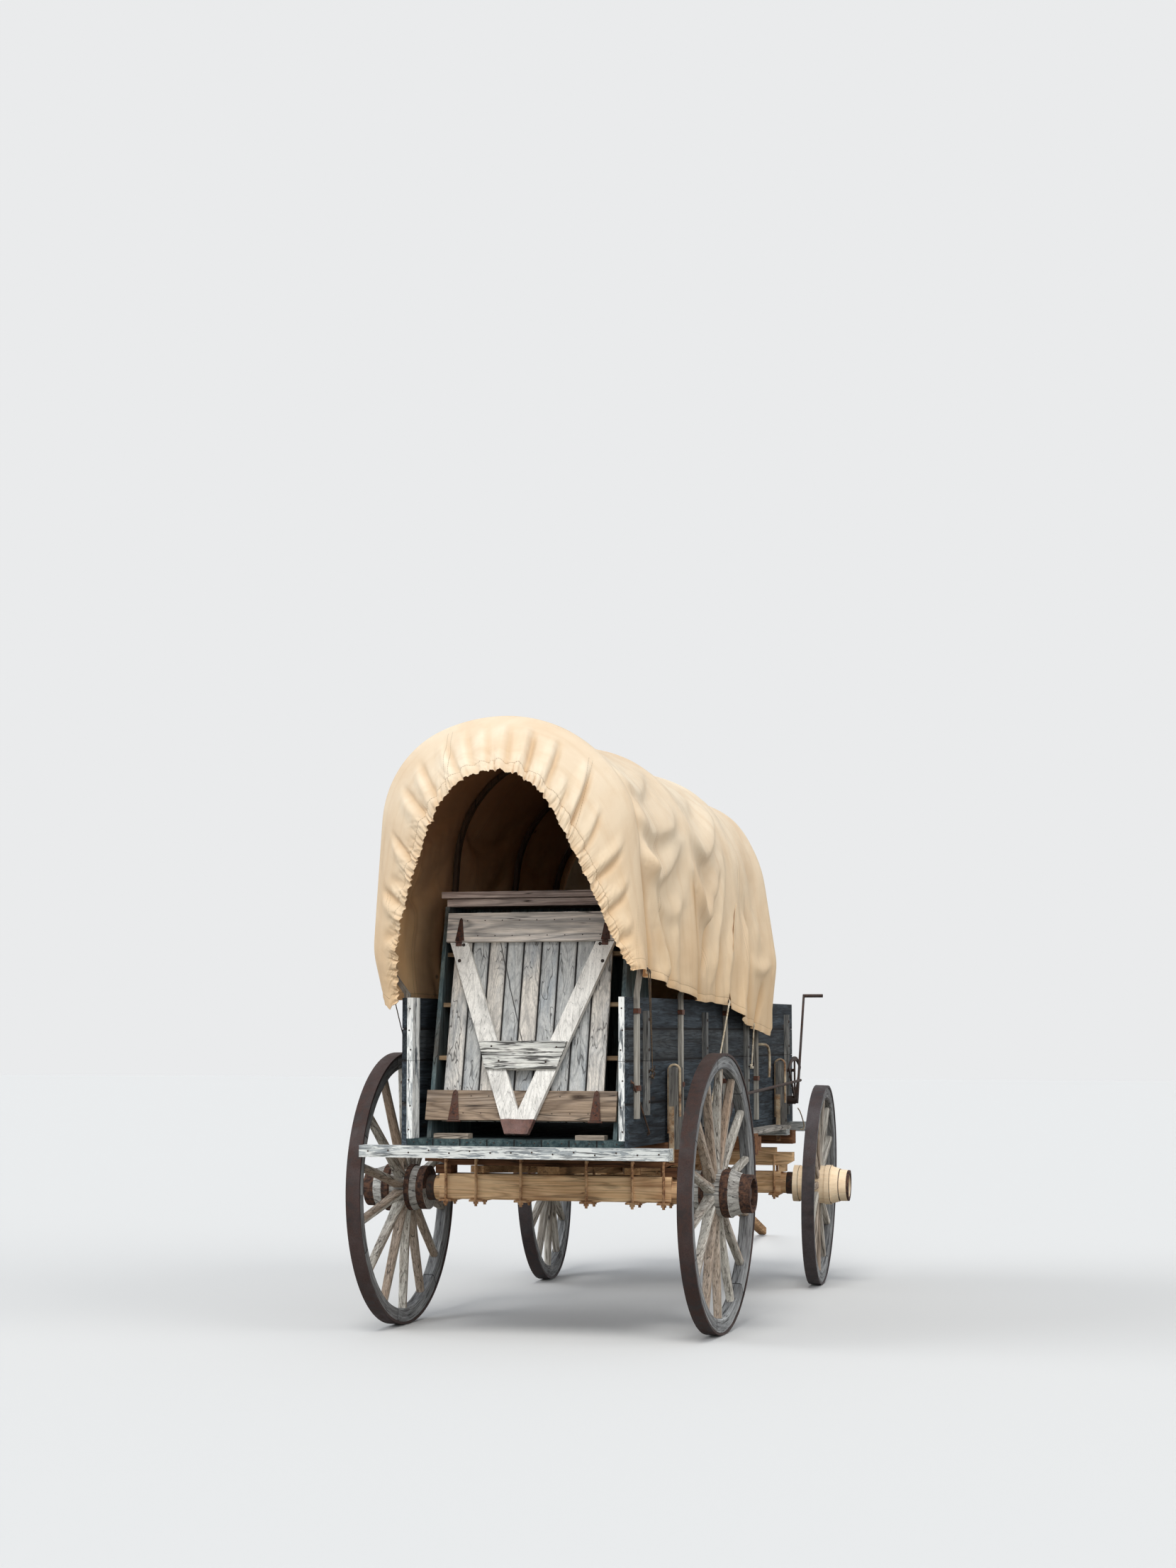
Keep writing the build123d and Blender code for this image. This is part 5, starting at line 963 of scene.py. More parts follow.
# the light wears differently on every wheel, so each has woods of its own
for wheel, facts in wheels.items():
    spokeCount = 14 if wheel.startswith("rear") else 12
    seed = 4.0 + facts["side"] + facts["centre"][1]
    timber[(wheel + "_felloe",)] = dict(
        grain="round", centre=facts["centre"], radius=facts["radius"], segments=spokeCount // 2, seed=seed,
        tones=((176, 178, 178), (124, 126, 128), (48, 46, 47)), stain=(80, 73, 70), flecks=(120.0, 9.0, 0.54, 0.6),
        seamWidth=0.0016)
    timber[(wheel + "_spokes",)] = dict(
        grain="out", centre=facts["centre"], radius=facts["radius"], spokes=spokeCount, seed=seed, spread=0.35,
        tones=((234, 230, 220), (190, 186, 176), (78, 68, 60)), stain=(134, 104, 80), stained=0.45,
        second=(156, 124, 96), flecks=(130.0, 8.0, 0.55, 0.6))
    hub = dict(
        grain="axle", centre=facts["centre"], radius=0.11, outward=facts["side"], knots=0.0,
        tones=((206, 205, 200), (166, 165, 161), (70, 66, 63)), stain=(104, 96, 88), flecks=(90.0, 14.0, 0.56, 0.7),
        bands=((-0.145, -0.107), (-0.072, -0.046), (0.028, 0.070), (0.120, 0.180)))
    if wheel == "front_right":  # this one keeps its cream paint, and little of its bands shows
        hub.update(
            tones=((250, 230, 200), (240, 216, 182), (150, 116, 86)), stain=(214, 182, 146), stained=0.3, checks=0.1,
            rings=0.08, fibres=0.12, flecks=(60.0, 14.0, 0.66, 0.4),
            bands=((-0.109, -0.106), (-0.073, -0.070), (0.070, 0.073), (0.118, 0.123), (0.163, 0.180)))
    timber[(wheel + "_hub",)] = hub

iron = {  # nodes: bare metal, rust, dark scale, metallic, roughness, size of the blotches
    ("bow_staples",): ((96, 70, 58), (112, 64, 44), (50, 32, 27), 0.2, 0.75, 40.0),
    ("lid_hinges",): ((92, 66, 54), (116, 66, 44), (50, 34, 28), 0.2, 0.75, 34.0),
    ("rear_irons", "front_irons"): ((228, 190, 146), (196, 150, 108), (112, 76, 52), 0.0, 0.8, 30.0),
    ("stake_irons",): ((214, 198, 168), (164, 128, 94), (96, 72, 54), 0.0, 0.8, 22.0),
    ("king_pin", "rear_skeins", "front_skeins"): ((86, 78, 72), (92, 62, 46), (38, 32, 30), 0.3, 0.6, 26.0),
    ("brake_ratchet", "brake_lever", "brake_rod"): ((62, 54, 52), (78, 56, 46), (34, 29, 28), 0.2, 0.7, 40.0),
    ("rear_right_tyre", "rear_left_tyre"): ((66, 52, 50), (60, 42, 37), (33, 25, 24), 0.1, 0.85, 9.0),
    ("front_right_tyre", "front_left_tyre"): ((76, 70, 72), (66, 54, 53), (38, 34, 36), 0.1, 0.85, 9.0),
}
for kinds, make in ((timber, agedWood), (iron, rustyIron)):
    for names, plan in kinds.items():
        label = names[0].replace("_", " ")
        material = make(label, plan) if make is agedWood else make(label, *plan)
        for name in names:
            nodes[name].data.materials.clear()
            nodes[name].data.materials.append(material)
print("node materials set")


# closed solids: each part is rings x points x 3, every ring is joined to the next and both ends close with a fan to
# their middle; a part that comes out inside out has its faces turned, as its volume shows
def solidFrom(parts):
    points, faces, start = [], [], 0
    for rings in parts:
        n, m, _ = rings.shape
        flat = np.concatenate([rings.reshape(-1, 3), rings[:1].mean(1), rings[-1:].mean(1)])
        r, c = np.arange(n - 1)[:, None], np.arange(m)[None, :]
        a, b = (r * m + c).ravel(), (r * m + (c + 1) % m).ravel()
        quads = np.stack([a, a + m, b + m, b], 1)
        c = c.ravel()
        ends = np.concatenate([np.stack([np.full(m, n * m), c, (c + 1) % m], 1),
                               np.stack([np.full(m, n * m + 1), (n - 1) * m + (c + 1) % m, (n - 1) * m + c], 1)])
        corners = np.concatenate([quads[:, [0, 1, 2]], quads[:, [0, 2, 3]], ends])
        centre = flat.mean(0)
        p, q, s = [flat[corners[:, k]] - centre for k in range(3)]
        if np.sum(p * np.cross(q, s)) < 0:
            quads, ends = quads[:, ::-1], ends[:, ::-1]
        faces += (quads + start).tolist() + (ends + start).tolist()
        points.append(flat)
        start += len(flat)
    return np.concatenate(points), faces


def addPiece(name, parts, material, body, crease=40.0):
    points, faces = solidFrom(parts)
    mesh = bpy.data.meshes.new(name)
    mesh.from_pydata((points + np.array([0, rearY, 0])).tolist(), [], faces)
    mesh.polygons.foreach_set("use_smooth", np.ones(len(faces), bool))
    mesh.set_sharp_from_angle(angle=math.radians(crease))
    mesh.materials.append(material)
    thing = bpy.data.objects.new(name, mesh)
    bpy.context.scene.collection.objects.link(thing)
    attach(thing, body)
    return thing


# a round bar or rope along a path: rings square to it; a rope's radius swells three times round, turning as it goes
def rodAlong(path, radius, sides=10, lay=0.0):
    ahead = np.gradient(path, axis=0)
    ahead /= np.linalg.norm(ahead, axis=1, keepdims=True)
    guide = np.array([1.0, 0.0, 0.0]) if abs(ahead[:, 0]).max() < 0.93 else np.array([0.0, 0.3, 1.0])
    side = np.cross(ahead, guide)
    side /= np.linalg.norm(side, axis=1, keepdims=True)
    top = np.cross(side, ahead)
    turn = np.linspace(0, 2 * np.pi, sides, endpoint=False)[None, :]
    size = np.full((len(path), sides), radius)
    if lay:
        run = np.concatenate([[0], np.cumsum(np.linalg.norm(np.diff(path, axis=0), axis=1))])[:, None]
        size = radius * (0.88 + 0.16 * np.abs(np.cos(1.5 * turn - np.pi * run * 3 / lay)))
    ring = np.cos(turn)[..., None] * side[:, None] + np.sin(turn)[..., None] * top[:, None]
    return path[:, None] + size[..., None] * ring


# a flat bar: rings at the places, half widths along one direction and a thickness along another, corners cut
def barAlong(places, across, halfWidths, through, thick, cut=0.18):
    across, through = np.asarray(across, float), np.asarray(through, float)
    half = np.broadcast_to(np.asarray(halfWidths, float), len(places))[:, None, None]
    u = np.array([-1 + cut, 1 - cut, 1, 1, 1 - cut, -1 + cut, -1, -1])[None, :, None]
    v = np.array([0, 0, cut, 1 - cut, 1, 1, 1 - cut, cut])[None, :, None]
    edge = np.minimum(half, half * 0 + thick * 2)
    wide = np.sign(u) * (half - edge * (1 - np.abs(u)))
    return places[:, None] + wide * across + v * thick * through


# a nail or bolt head: rings of a low dome about its direction
def headAt(place, out, radius, height, sides=8):
    out = np.asarray(out, float) / np.linalg.norm(out)
    one = np.cross(out, [0.0, 0.31, 0.95] if abs(out[0]) > 0.5 else [1.0, 0.0, 0.0])
    one /= np.linalg.norm(one)
    two = np.cross(out, one)
    turn = np.linspace(0, 2 * np.pi, sides, endpoint=False)[None, :, None]
    wide = np.array([1.0, 1.0, 0.82, 0.45])[:, None, None] * radius
    rise = np.array([-0.4, 0.35, 0.8, 1.0])[:, None, None] * height
    return np.asarray(place, float) + rise * out + wide * (np.cos(turn) * one + np.sin(turn) * two)


# a row of places across the wagon from one x to another
def rowAcross(start, stop, y, z, count):
    x = np.linspace(start, stop, count)
    return np.stack([x, y + 0 * x, z + 0 * x], 1)


# the lid leans about its hinge and the leg a little more about its own pivot; their own coordinates are across, in
# towards the wagon and up along the lid
lidFacts = dict(hinge=(-0.602, 1.010), tilt=12.8043, legPivot=(-0.0115, 0.8578073), legLean=1.7678, pivotX=0.362)


def leaned(points, degrees, origin):
    points = np.asarray(points, float)
    c, s = math.cos(math.radians(degrees)), math.sin(math.radians(degrees))
    return np.stack([points[..., 0], points[..., 1] * c + points[..., 2] * s + origin[0],
                     points[..., 2] * c - points[..., 1] * s + origin[1]], -1)


def onLid(points):
    return leaned(points, lidFacts["tilt"], lidFacts["hinge"])


def onLeg(points):
    return onLid(leaned(points, lidFacts["legLean"], lidFacts["legPivot"]))


lidOut, legOut = (place((0, -1, 0)) - place((0, 0, 0)) for place in (onLid, onLeg))

# the crossbar laps over the leg's arms: a board that narrows downward, its face ploughed by weather along the grain
# and its ends ragged
crossbarFacts = dict(top=-0.4857, low=-0.6180, topHalf=0.216, lowHalf=0.172, face=-0.011, back=0.006, plough=0.0016,
                     corner=0.004, ragged=0.0035, wander=0.0015, rows=44, columns=90)


def crossbarRings():
    facts = crossbarFacts
    down = np.concatenate([np.linspace(0, 1, facts["rows"]), [1.0, 0.0]])[None, :]
    front = np.concatenate([np.ones(facts["rows"]), [0.0, 0.0]])[None, :]
    u = np.linspace(-1, 1, facts["columns"])[:, None]
    ridge = ripple(u * 0.20, down * 0.9, 71, 0.10, 3) * 0.6 + ripple(u * 0.05, down * 1.3, 72, 0.05, 2)
    corner = np.minimum(down, 1 - down) * 0.13
    deep = facts["face"] + (facts["corner"] * np.exp(-corner / 0.003) - facts["plough"] * ridge) * front
    half = facts["topHalf"] + (facts["lowHalf"] - facts["topHalf"]) * down
    half = half + facts["ragged"] * ripple(down * 0.4, u * 0 + np.sign(u), 73, 0.07, 2)
    rise = facts["top"] + (facts["low"] - facts["top"]) * down
    rise = rise + facts["wander"] * ripple(u * 0.4, down * 0, 74, 0.1, 2)
    return np.stack([u * half, np.where(front > 0, deep, facts["back"]) + u * 0, rise], -1)


crossWood = agedWood("crossbar wood", dict(
    grain="x", tones=((244, 242, 234), (198, 199, 194), (50, 49, 48)), stain=(120, 122, 120), stained=0.35,
    flecks=(95.0, 6.0, 0.50, 0.9), rings=0.2, fibres=0.5, knots=0.0, checks=1.0))
addPiece("leg_crossbar", [onLeg(crossbarRings())], crossWood, "leg", 55)

# bolts through the leg's arms and nails in the crossbar; a head is its radius, height and sides
legHeads = dict(
    bolts=[(-0.338, 0.005, -0.014), (-0.352, 0.005, -0.092), (0.338, 0.005, -0.014), (0.356, 0.005, -0.098)],
    boltHead=(0.0085, 0.004, 10),
    nails=[(-0.108, -0.0105, -0.581), (0.121, -0.0105, -0.5865), (-0.150, -0.0105, -0.512), (0.168, -0.0105, -0.516)],
    nailHead=(0.0050, 0.002, 8),
)
boltDark = rustyIron("bolt iron", (58, 52, 48), (74, 52, 40), (30, 26, 24), size=60.0)
parts = [headAt(onLeg(place), legOut, *legHeads[head])
         for kind, head in (("bolts", "boltHead"), ("nails", "nailHead")) for place in legHeads[kind]]
addPiece("leg_bolts", parts, boltDark, "leg")

# the leg's iron: a shoe folded round its foot and the barrels and leaves of its two hinges
shoeFacts = dict(
    top=-0.854, low=-0.9225, face=0.002, back=0.036, half=0.057, taper=0.3837, rings=7,
    # once round it: share of the half width and share of the way from face to back
    outline=[(-1, 0.10), (-0.975, 0), (-0.5, 0), (0, 0), (0.5, 0), (0.975, 0), (1, 0.10), (1, 0.5), (1, 0.9),
             (0.975, 1), (0.5, 1), (0, 1), (-0.5, 1), (-0.975, 1), (-1, 0.9), (-1, 0.5)],
)
legHinge = dict(barrels=((-0.0150, -0.0082), (0.0082, 0.0150)), barrelRadius=0.0048, leafHalf=0.0150, leafThick=0.0040,
                leaf=[(0.0030, 0.004), (0.0010, -0.003), (0.0012, -0.010), (0.0012, -0.020)])


def shoeRings():
    facts = shoeFacts
    share, inward = np.array(facts["outline"]).T[:, None]
    rise = np.linspace(facts["top"], facts["low"], facts["rings"])[:, None]
    half = facts["half"] + facts["taper"] * (rise - facts["low"])
    dents = 0.0008 * np.sin(half * 400 + share * 5)
    return np.stack([half * share, facts["face"] + (facts["back"] - facts["face"]) * inward + dents,
                     rise + 0.0012 * np.sin(share * 9)], -1)


shoeIron = rustyIron("shoe iron", (124, 98, 92), (108, 76, 66), (66, 48, 44), size=20.0)
parts = [onLeg(shoeRings())]
for side in (-1, 1):
    x = side * lidFacts["pivotX"]
    for start, stop in legHinge["barrels"]:
        parts.append(rodAlong(onLeg(rowAcross(x + start, x + stop, 0, 0, 3)), legHinge["barrelRadius"], 12))
    leaf = onLeg([(x, y, z) for y, z in legHinge["leaf"]])
    parts.append(barAlong(leaf, (1, 0, 0), legHinge["leafHalf"], -legOut, legHinge["leafThick"]))
fittings = addPiece("leg_fittings", parts, shoeIron, "leg")
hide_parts("leg_irons")

# the lid's planks: nine boards of slightly unequal width with open joints, each a closed board whose face is cupped a
# little and whose edges are rounded off; their ends wander by a millimetre or two
plankFacts = dict(half=0.392, low=0.005, high=1.009, face=0.022, back=0.042, gap=0.0036, cup=0.0008, round=0.0035,
                  widths=(0.090, 0.085, 0.088, 0.084, 0.089, 0.086, 0.088, 0.086, 0.088), along=60, across=12)
plankEdges = np.concatenate([[0], np.cumsum(plankFacts["widths"])])
plankEdges = plankEdges / plankEdges[-1] * 2 * plankFacts["half"] - plankFacts["half"]


def plankRings(number, left, right):
    facts = plankFacts
    long = np.linspace(facts["low"], facts["high"], facts["along"])[:, None]
    u = np.concatenate([np.linspace(0, 1, facts["across"]), [1, 0.5, 0]])[None, :]
    onFace = np.concatenate([np.ones(facts["across"]), np.zeros(3)])[None, :]
    sway = 0.0007 * ripple(long * 1.0, long * 0 + number, 81, 0.5, 2)
    wide = right - left - facts["gap"]
    corner = np.minimum(u, 1 - u) * wide
    face = facts["face"] + facts["cup"] * (2 * u - 1) ** 2 + facts["round"] * np.exp(-corner / 0.0022)
    face = face + 0.0006 * ripple(long * 0.5, u * 0.9 + number, 82, 0.25, 2)
    shift = 0.0025 * np.sin(number * 2.3) * np.exp(-(facts["high"] - long) / 0.02)
    return np.stack([left + facts["gap"] / 2 + u * wide + sway,
                     np.where(onFace > 0, face, facts["back"]) + 0 * long, long + shift + 0 * u], -1)


plankWood = agedWood("plank wood", dict(
    grain="z", tones=((240, 233, 222), (204, 198, 190), (84, 86, 90)), seams=[float(x) for x in plankEdges[1:-1]],
    seed=7.0, spread=0.12, second=(166, 174, 178), stain=(146, 158, 168), stained=0.7, rings=0.35, fibres=0.38,
    knots=0.7, seamWidth=0.0030,
    # x and height where a split starts and stops, and its width
    splits=[(-0.1638, 1.847, -0.102, 1.6388, 0.0024), (-0.102, 1.6388, -0.0191, 1.3804, 0.0024),
            (0.3119, 1.8377, 0.3175, 1.7525, 0.0020)]))
parts = [onLid(plankRings(number, left, right))
         for number, (left, right) in enumerate(zip(plankEdges, plankEdges[1:]))]
lidPlanks = addPiece("lid_planks", parts, plankWood, "lid", 60)
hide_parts("lid_boards")

# strap hinges: tapered with a round tip, a barrel where each turns; the upper pair carries the leg
strapFacts = dict(
    lowerX=(-0.322, 0.366), thick=0.0042, barrel=0.0050, lowerBarrelHalf=0.034, upperBarrelHalf=0.0075,
    # where it starts and ends up the lid, and its half width there
    upper=(0.8660, 0.978, 0.0225, 0.0065), lower=(0.006, 0.147, 0.0270, 0.0110),
    nails=(0.2, 0.52, 0.85), nailHead=(0.0056, 0.0032),
    hook=[(-0.0115, 0.8590), (-0.0080, 0.8640), (-0.0035, 0.8690)], hookHalf=0.0070, hookThick=0.0035,
)
strapIron = rustyIron("strap iron", (80, 60, 52), (98, 60, 44), (42, 30, 26), size=34.0)
up = np.linspace(0, 1, 16)
tip = np.sqrt(np.clip(1 - ((up - 0.9) / 0.1) ** 2, 0.02, 1)) ** (up > 0.9)
parts = []
for side, lowerX in zip((-1, 1), strapFacts["lowerX"]):
    upperX = side * lidFacts["pivotX"]
    for x, (first, last, wide, narrow) in ((upperX, strapFacts["upper"]), (lowerX, strapFacts["lower"])):
        places = onLid(np.stack([x + 0 * up, -0.0003 + 0 * up, first + (last - first) * up], 1))
        half = (wide + (narrow - wide) * up ** 0.9) * tip
        parts.append(barAlong(places, (1, 0, 0), half, lidOut, strapFacts["thick"]))
        parts += [headAt(onLid((x, -strapFacts["thick"], first + (last - first) * share)), lidOut,
                         *strapFacts["nailHead"]) for share in strapFacts["nails"]]
    for x, (y, z), half in ((lowerX, (0.0, 0.0), strapFacts["lowerBarrelHalf"]),
                            (upperX, lidFacts["legPivot"], strapFacts["upperBarrelHalf"])):
        parts.append(rodAlong(onLid(rowAcross(x - half, x + half, y, z, 4)), strapFacts["barrel"], 12))
    hook = onLid([(upperX, y, z) for y, z in strapFacts["hook"]])
    parts.append(barAlong(hook, (1, 0, 0), strapFacts["hookHalf"], -lidOut, strapFacts["hookThick"]))
straps = addPiece("lid_straps", parts, strapIron, "lid")
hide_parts("lid_hinges")

# nails in the lid where each board crosses a batten, but none under a strap
lidNails = dict(places=[(-0.018, 0.038), (0.016, 0.118), (-0.014, 0.890), (0.017, 0.965)], head=(0.0030, 0.0012, 6),
                strapX=0.366, clear=0.03)
boardX = (plankEdges[1:] + plankEdges[:-1]) / 2
parts = [headAt(onLid((x + dx, -0.0006, rise)), lidOut, *lidNails["head"]) for x in boardX
         for dx, rise in lidNails["places"] if abs(abs(x + dx) - lidNails["strapX"]) > lidNails["clear"]]
addPiece("lid_nails", parts, boltDark, "lid")

# two loose cleats lie on the floor inside the tailgate, a little askew
cleatFacts = dict(cleats=[(-0.40, -0.235, -0.655, -0.590, 0.024), (0.285, 0.420, -0.650, -0.592, 0.022)],
                  floor=0.9288, askew=0.012)
looseWood = agedWood("loose wood", dict(
    grain="x", tones=((186, 174, 158), (148, 136, 122), (66, 58, 52)), stain=(104, 94, 84)))
parts = []
for x0, x1, y0, y1, thick in cleatFacts["cleats"]:
    places = rowAcross(x0, x1, y0 + np.linspace(0, cleatFacts["askew"], 9), cleatFacts["floor"] + thick / 2, 9)
    parts.append(barAlong(places, (0, 0, 1), thick / 2, (0, 1, 0), y1 - y0, 0.05))
addPiece("floor_cleats", parts, looseWood, "wagon")

# dark tongues close the open joints between the side boards
tongueFacts = dict(x=(-0.5435, 0.5345), start=-0.672, stop=2.908, half=0.0045, thick=0.009)
tongueWood = agedWood("tongue wood", dict(
    grain="y", tones=((54, 50, 46), (38, 36, 34), (18, 17, 16)), stain=(24, 22, 20)))
ends = np.linspace(tongueFacts["start"], tongueFacts["stop"], 12)
parts = [barAlong(np.stack([x + 0 * ends, ends, z + 0 * ends], 1), (0, 0, 1), tongueFacts["half"], (1, 0, 0),
                  tongueFacts["thick"]) for x in tongueFacts["x"] for z in boardSeams]
addPiece("board_tongues", parts, tongueWood, "wagon")

# heads on the sides: bolts through cleats and bow feet, nails in the boards beside them
sideHeads = dict(
    cleatX=0.5752, rearCleat=-0.425, cleats=(0.714, 1.652, 2.705), boltHead=(0.0080, 0.0045),
    rearHeights=(1.10, 1.24, 1.34, 1.48), heights=(1.00, 1.16, 1.34, 1.48),
    boardX=0.5512, beside=(-0.055, 0.056), nailHead=(0.0032, 0.0014, 6),
    nailHeights=(0.945, 1.05, 1.13, 1.25, 1.32, 1.40, 1.46, 1.55),
    stakeX=0.6152, stakes=(0.0, 2.404), stakeShift=0.016, stakeHeights=(0.92, 1.12), stakeHead=(0.0090, 0.0050),
)
parts = []
for side in (-1, 1):
    out = (side, 0, 0)
    for y in (sideHeads["rearCleat"], *sideHeads["cleats"]):
        heights = sideHeads["rearHeights" if y == sideHeads["rearCleat"] else "heights"]
        parts += [headAt((side * sideHeads["cleatX"], y, z), out, *sideHeads["boltHead"]) for z in heights]
        parts += [headAt((side * sideHeads["boardX"], y + dy, z), out, *sideHeads["nailHead"])
                  for dy in sideHeads["beside"] for z in sideHeads["nailHeights"]]
    parts += [headAt((side * sideHeads["stakeX"], y + sideHeads["stakeShift"], z), out, *sideHeads["stakeHead"])
              for y in sideHeads["stakes"] for z in sideHeads["stakeHeights"]]
addPiece("side_bolts", parts, boltDark, "wagon")

# nails along the sills, the floor and the rear posts; a row is its reach, count, y, height, wander and head
rearNails = dict(
    rows=[(0.70, 15, -0.7222, 0.872, 0.006, (0.0042, 0.0020, 6)), (0.49, 16, -0.6762, 0.914, 0.0, (0.0036, 0.0016, 6))],
    postX=0.513, postY=-0.6762, postHead=(0.0042, 0.0018, 6),
    posts=[(0.97, 0.004), (1.08, -0.003), (1.20, 0.005), (1.34, -0.004), (1.43, 0.004), (1.53, 0.0)],
)
parts = [headAt((x, y, z + wander * math.sin(x * 90)), (0, -1, 0), *head)
         for reach, count, y, z, wander, head in rearNails["rows"] for x in np.linspace(-reach, reach, count)]
parts += [headAt((side * (rearNails["postX"] + dx), rearNails["postY"], z), (0, -1, 0), *rearNails["postHead"])
          for side in (-1, 1) for z, dx in rearNails["posts"]]
addPiece("rear_nails", parts, boltDark, "wagon")
print("lid, leg and box fittings made")

# ropes that tie the cover down, each taut between a grommet in the hem and a peg, with a hitch of nearly three turns
tieFacts = dict(
    # side, y of the grommet in the hem, where it is made fast (y, z), rope or twine
    ties=[(1, 0.888, (0.708, 1.035), "rope"), (1, 1.600, (1.652, 1.235), "rope"),
          (1, -0.520, (-0.425, 1.215), "twine"), (1, -0.590, (-0.425, 1.245), "twine"),
          (-1, 0.860, (0.714, 1.060), "rope"), (-1, 1.580, (1.652, 1.240), "rope"),
          (-1, -0.480, (-0.425, 1.220), "twine")],
    radius=dict(rope=0.0044, twine=0.0026),
    washer=[(0.0045, 0.0004), (0.0045, 0.0016), (0.0060, 0.0026), (0.0085, 0.0022), (0.0100, 0.0002),
            (0.0100, -0.0012)],  # radius and height out of the cloth
    aboveHem=0.020, droop=0.006, hitchX=0.592, turns=2.75, pegRadius=0.0035,
    peg=[(0.570, 0.0), (0.588, 0.0), (0.600, 0.006), (0.603, 0.022)],  # x and rise along a peg
    knot=[(-0.004, 0.0, 0.0), (0.003, 0.001, 0.004), (0.006, 0.0, -0.006), (0.003, 0.002, -0.014)],  # at the grommet
)
clothSpots = np.zeros(len(canvasMain.data.vertices) * 3)
canvasMain.data.vertices.foreach_get("co", clothSpots)
clothSpots = clothSpots.reshape(-1, 3) - np.array([0, rearY, 0])


# a tie's parts: its grommet's washer, its peg and its three strands; x counts outward on its own side
def tieParts(side, y, footY, footZ, kind):
    facts = tieFacts
    radius = facts["radius"][kind]
    mirror = np.array([side, 1, 1])
    near = clothSpots[(np.abs(clothSpots[:, 1] - y) < 0.012) & (clothSpots[:, 0] * side > 0.4)]
    hole = near[np.argmin(near[:, 2])] + np.array([side * 0.0015, 0, facts["aboveHem"]])
    near = near[np.abs(near[:, 2] - hole[2]) < 0.02]
    hole[0] = near[np.argmax(near[:, 0] * side), 0] + side * 0.001
    turn = np.linspace(0, 2 * np.pi, 14, endpoint=False)
    wide, high = np.array(facts["washer"]).T[..., None]
    washer = hole + np.stack([side * high + 0 * turn, wide * np.cos(turn), wide * np.sin(turn)], -1)
    pegPath = [(side * x, footY, footZ + rise) for x, rise in facts["peg"]]
    foot = np.array([side * facts["hitchX"], footY, footZ])
    top = hole + mirror * (0.004, 0, -0.002)
    line = np.linspace(0, 1, 60)[:, None]
    straight = top + (foot + np.array([0, 0, 0.008]) - top) * line
    straight[:, 2] -= facts["droop"] * np.sin(np.pi * line[:, 0])
    around = np.linspace(0, 2 * np.pi * facts["turns"], 44)
    reach = facts["pegRadius"] + 0.0015 + radius
    coil = foot + np.stack([side * np.linspace(-0.007, 0.006, 44), reach * np.sin(around), reach * np.cos(around)], 1)
    knot = curveThrough(hole + mirror * facts["knot"], 5)
    strands = [rodAlong(straight, radius, 9, radius * 11), rodAlong(coil, radius * 0.95, 8), rodAlong(knot, radius, 8)]
    return washer, rodAlong(curveThrough(pegPath, 5), facts["pegRadius"], 8), strands


ropeCotton = rustyIron("pale rope", (232, 224, 206), (214, 200, 174), (150, 132, 106), 0.0, 0.95, 60.0)
twineDark = rustyIron("dark twine", (86, 74, 62), (104, 84, 62), (52, 42, 34), 0.0, 0.95, 60.0)
ropes, twines, rings, pegs = [], [], [], []
for side, y, foot, kind in tieFacts["ties"]:
    washer, peg, strands = tieParts(side, y, *foot, kind)
    rings.append(washer)
    pegs.append(peg)
    (ropes if kind == "rope" else twines).extend(strands)
addPiece("tie_ropes", ropes, ropeCotton, "wagon", 70)
addPiece("tie_twines", twines, twineDark, "wagon", 70)
addPiece("grommets", rings, boltDark, "wagon", 50)
addPiece("rope_pegs", pegs, boltDark, "wagon", 50)

# odd ironwork on the sides: a brace rod by each rear post, a bent bracket by the front bow and a hook by the brake
braceFacts = dict(path=[(0.556, -0.652, 1.195), (0.562, -0.640, 1.180), (0.562, -0.520, 1.080), (0.562, -0.380, 0.962),
                        (0.556, -0.368, 0.950)], radius=0.0042, heads=[(-0.652, 1.195), (-0.368, 0.950)], headX=0.5512)
hookFacts = dict(
    bracket=[(0.552, 1.960, 1.352), (0.585, 1.968, 1.352), (0.598, 2.000, 1.346), (0.600, 2.040, 1.330),
             (0.600, 2.062, 1.290), (0.600, 2.062, 1.230), (0.598, 2.060, 1.170)], bracketRadius=0.0075,
    hook=[(0.656, 2.560, 0.985), (0.662, 2.600, 0.960), (0.662, 2.680, 0.905), (0.660, 2.712, 0.878),
          (0.658, 2.690, 0.858), (0.655, 2.640, 0.862)], hookRadius=0.0035,
)
braceIron = rustyIron("brace iron", (96, 84, 76), (108, 78, 58), (46, 40, 38), size=40.0)
paleIron = rustyIron("pale iron", (204, 192, 166), (150, 118, 88), (92, 76, 60), 0.05, 0.8, 30.0)
parts = [rodAlong(curveThrough([(side * x, y, z) for x, y, z in braceFacts["path"]], 6), braceFacts["radius"], 8)
         for side in (1, -1)]
parts += [headAt((side * braceFacts["headX"], y, z), (side, 0, 0), 0.010, 0.005, 10)
          for side in (1, -1) for y, z in braceFacts["heads"]]
addPiece("brace_rods", parts, braceIron, "wagon", 60)
parts = [rodAlong(curveThrough(hookFacts["bracket"], 7), hookFacts["bracketRadius"], 10),
         headAt(hookFacts["bracket"][0], (1, 0, 0), 0.014, 0.006, 12),
         rodAlong(curveThrough(hookFacts["hook"], 7), hookFacts["hookRadius"], 8)]
addPiece("side_hooks", parts, paleIron, "wagon", 60)
print("ropes and side ironwork made")


# floor and light: the camera and reflections see the floor and sky paler than they light the wagon
def seenTint(tree, tone, paler):
    rays = add(tree, "LightPath").outputs
    seen = calc(tree, "MAXIMUM", rays["Is Camera Ray"], rays["Is Glossy Ray"])
    return mix(tree, seen, tone, colour(*paler))


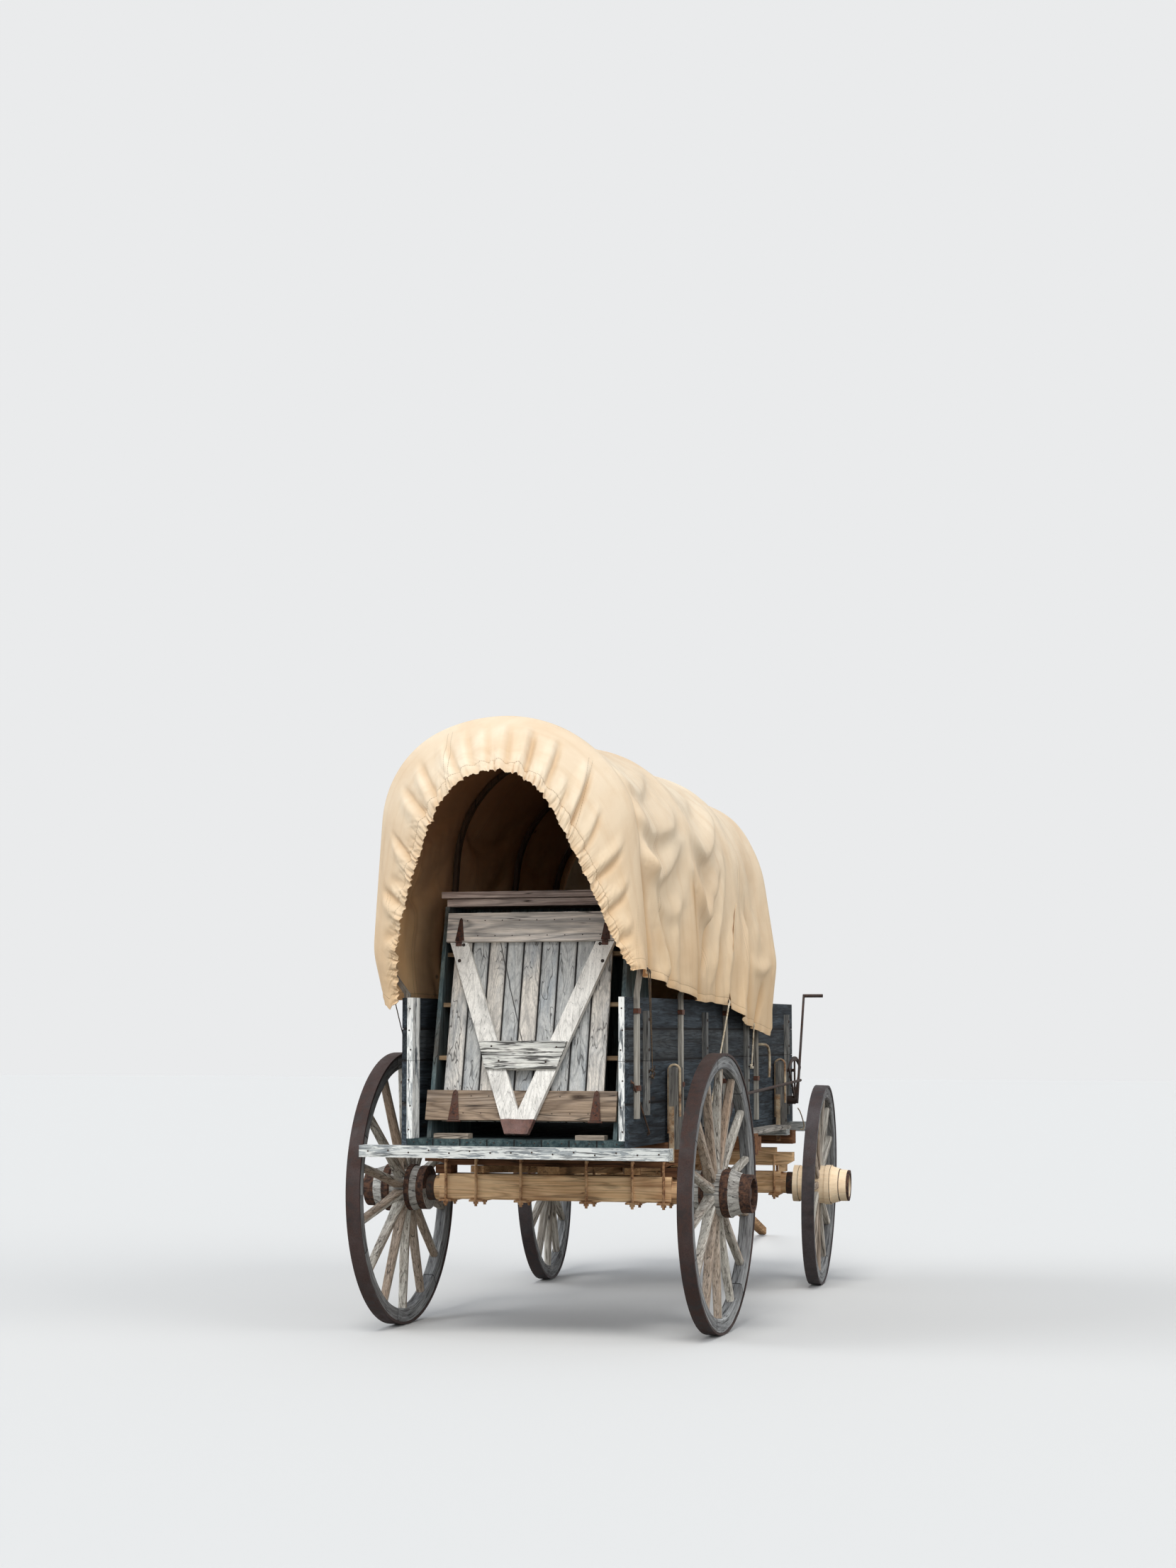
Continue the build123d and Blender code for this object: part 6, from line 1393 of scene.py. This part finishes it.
floorFacts = dict(half=60, drop=0.002, tone=(140, 136, 128), paler=(202, 202, 201))
floorMaterial, floorTree, floorShader = newMaterial("floor", 0.9, specular=0.1)
floorTint = seenTint(floorTree, colour(*floorFacts["tone"]), floorFacts["paler"])
floorTree.links.new(floorTint, floorShader.inputs["Base Color"])
floorCorners = np.array([(-1, 1, 0), (-1, -1, 0), (1, -1, 0), (1, 1, 0)]) * floorFacts["half"]
floorCorners = floorCorners - np.array([0, 0, floorFacts["drop"]])
floorMesh = meshFrom("floor", floorCorners, np.array([[0, 1, 2, 3]]), smooth=False)
floorMesh.data.materials.append(floorMaterial)

skyFacts = dict(low=(140, 146, 154), middle=(166, 174, 184), middleAt=0.35, high=(186, 192, 200), paler=(234, 235, 236))
world = bpy.data.worlds.new("sky")
bpy.context.scene.world = world
world.use_nodes = True
sky = world.node_tree
background = sky.nodes["Background"]
upward = parted(sky, add(sky, "TexCoord").outputs["Generated"])[2]
dome = ramp(sky, upward, [(0.0, colour(*skyFacts["low"])), (skyFacts["middleAt"], colour(*skyFacts["middle"])),
                          (1.0, colour(*skyFacts["high"]))])
sky.links.new(seenTint(sky, dome, skyFacts["paler"]), background.inputs["Color"])
background.inputs["Strength"].default_value = 1.0

lamps = [  # name, direction it comes from, softness in degrees, strength, colour
    ("key", (0.05, -0.60, 0.80), 22.0, 1.92, (1.0, 0.985, 0.955)),
    ("rear", (0.40, -0.90, 0.12), 55.0, 0.75, (1.0, 0.99, 0.97)),
    ("right", (0.86, -0.22, 0.46), 44.0, 1.3, (1.0, 0.98, 0.95)),
    ("left", (-0.82, -0.36, 0.44), 46.0, 1.7, (0.98, 0.99, 1.0)),
]
lampDistance = 8
for name, direction, softness, strength, tint in lamps:
    lampData = bpy.data.lights.new(name, "SUN")
    lampData.energy = strength
    lampData.angle = math.radians(softness)
    lampData.color = tint
    lamp = bpy.data.objects.new(name, lampData)
    lamp.location = Vector(direction) * lampDistance
    lamp.rotation_euler = Vector(direction).to_track_quat("Z", "Y").to_euler()
    bpy.context.scene.collection.objects.link(lamp)
print("floor and lamps ready")
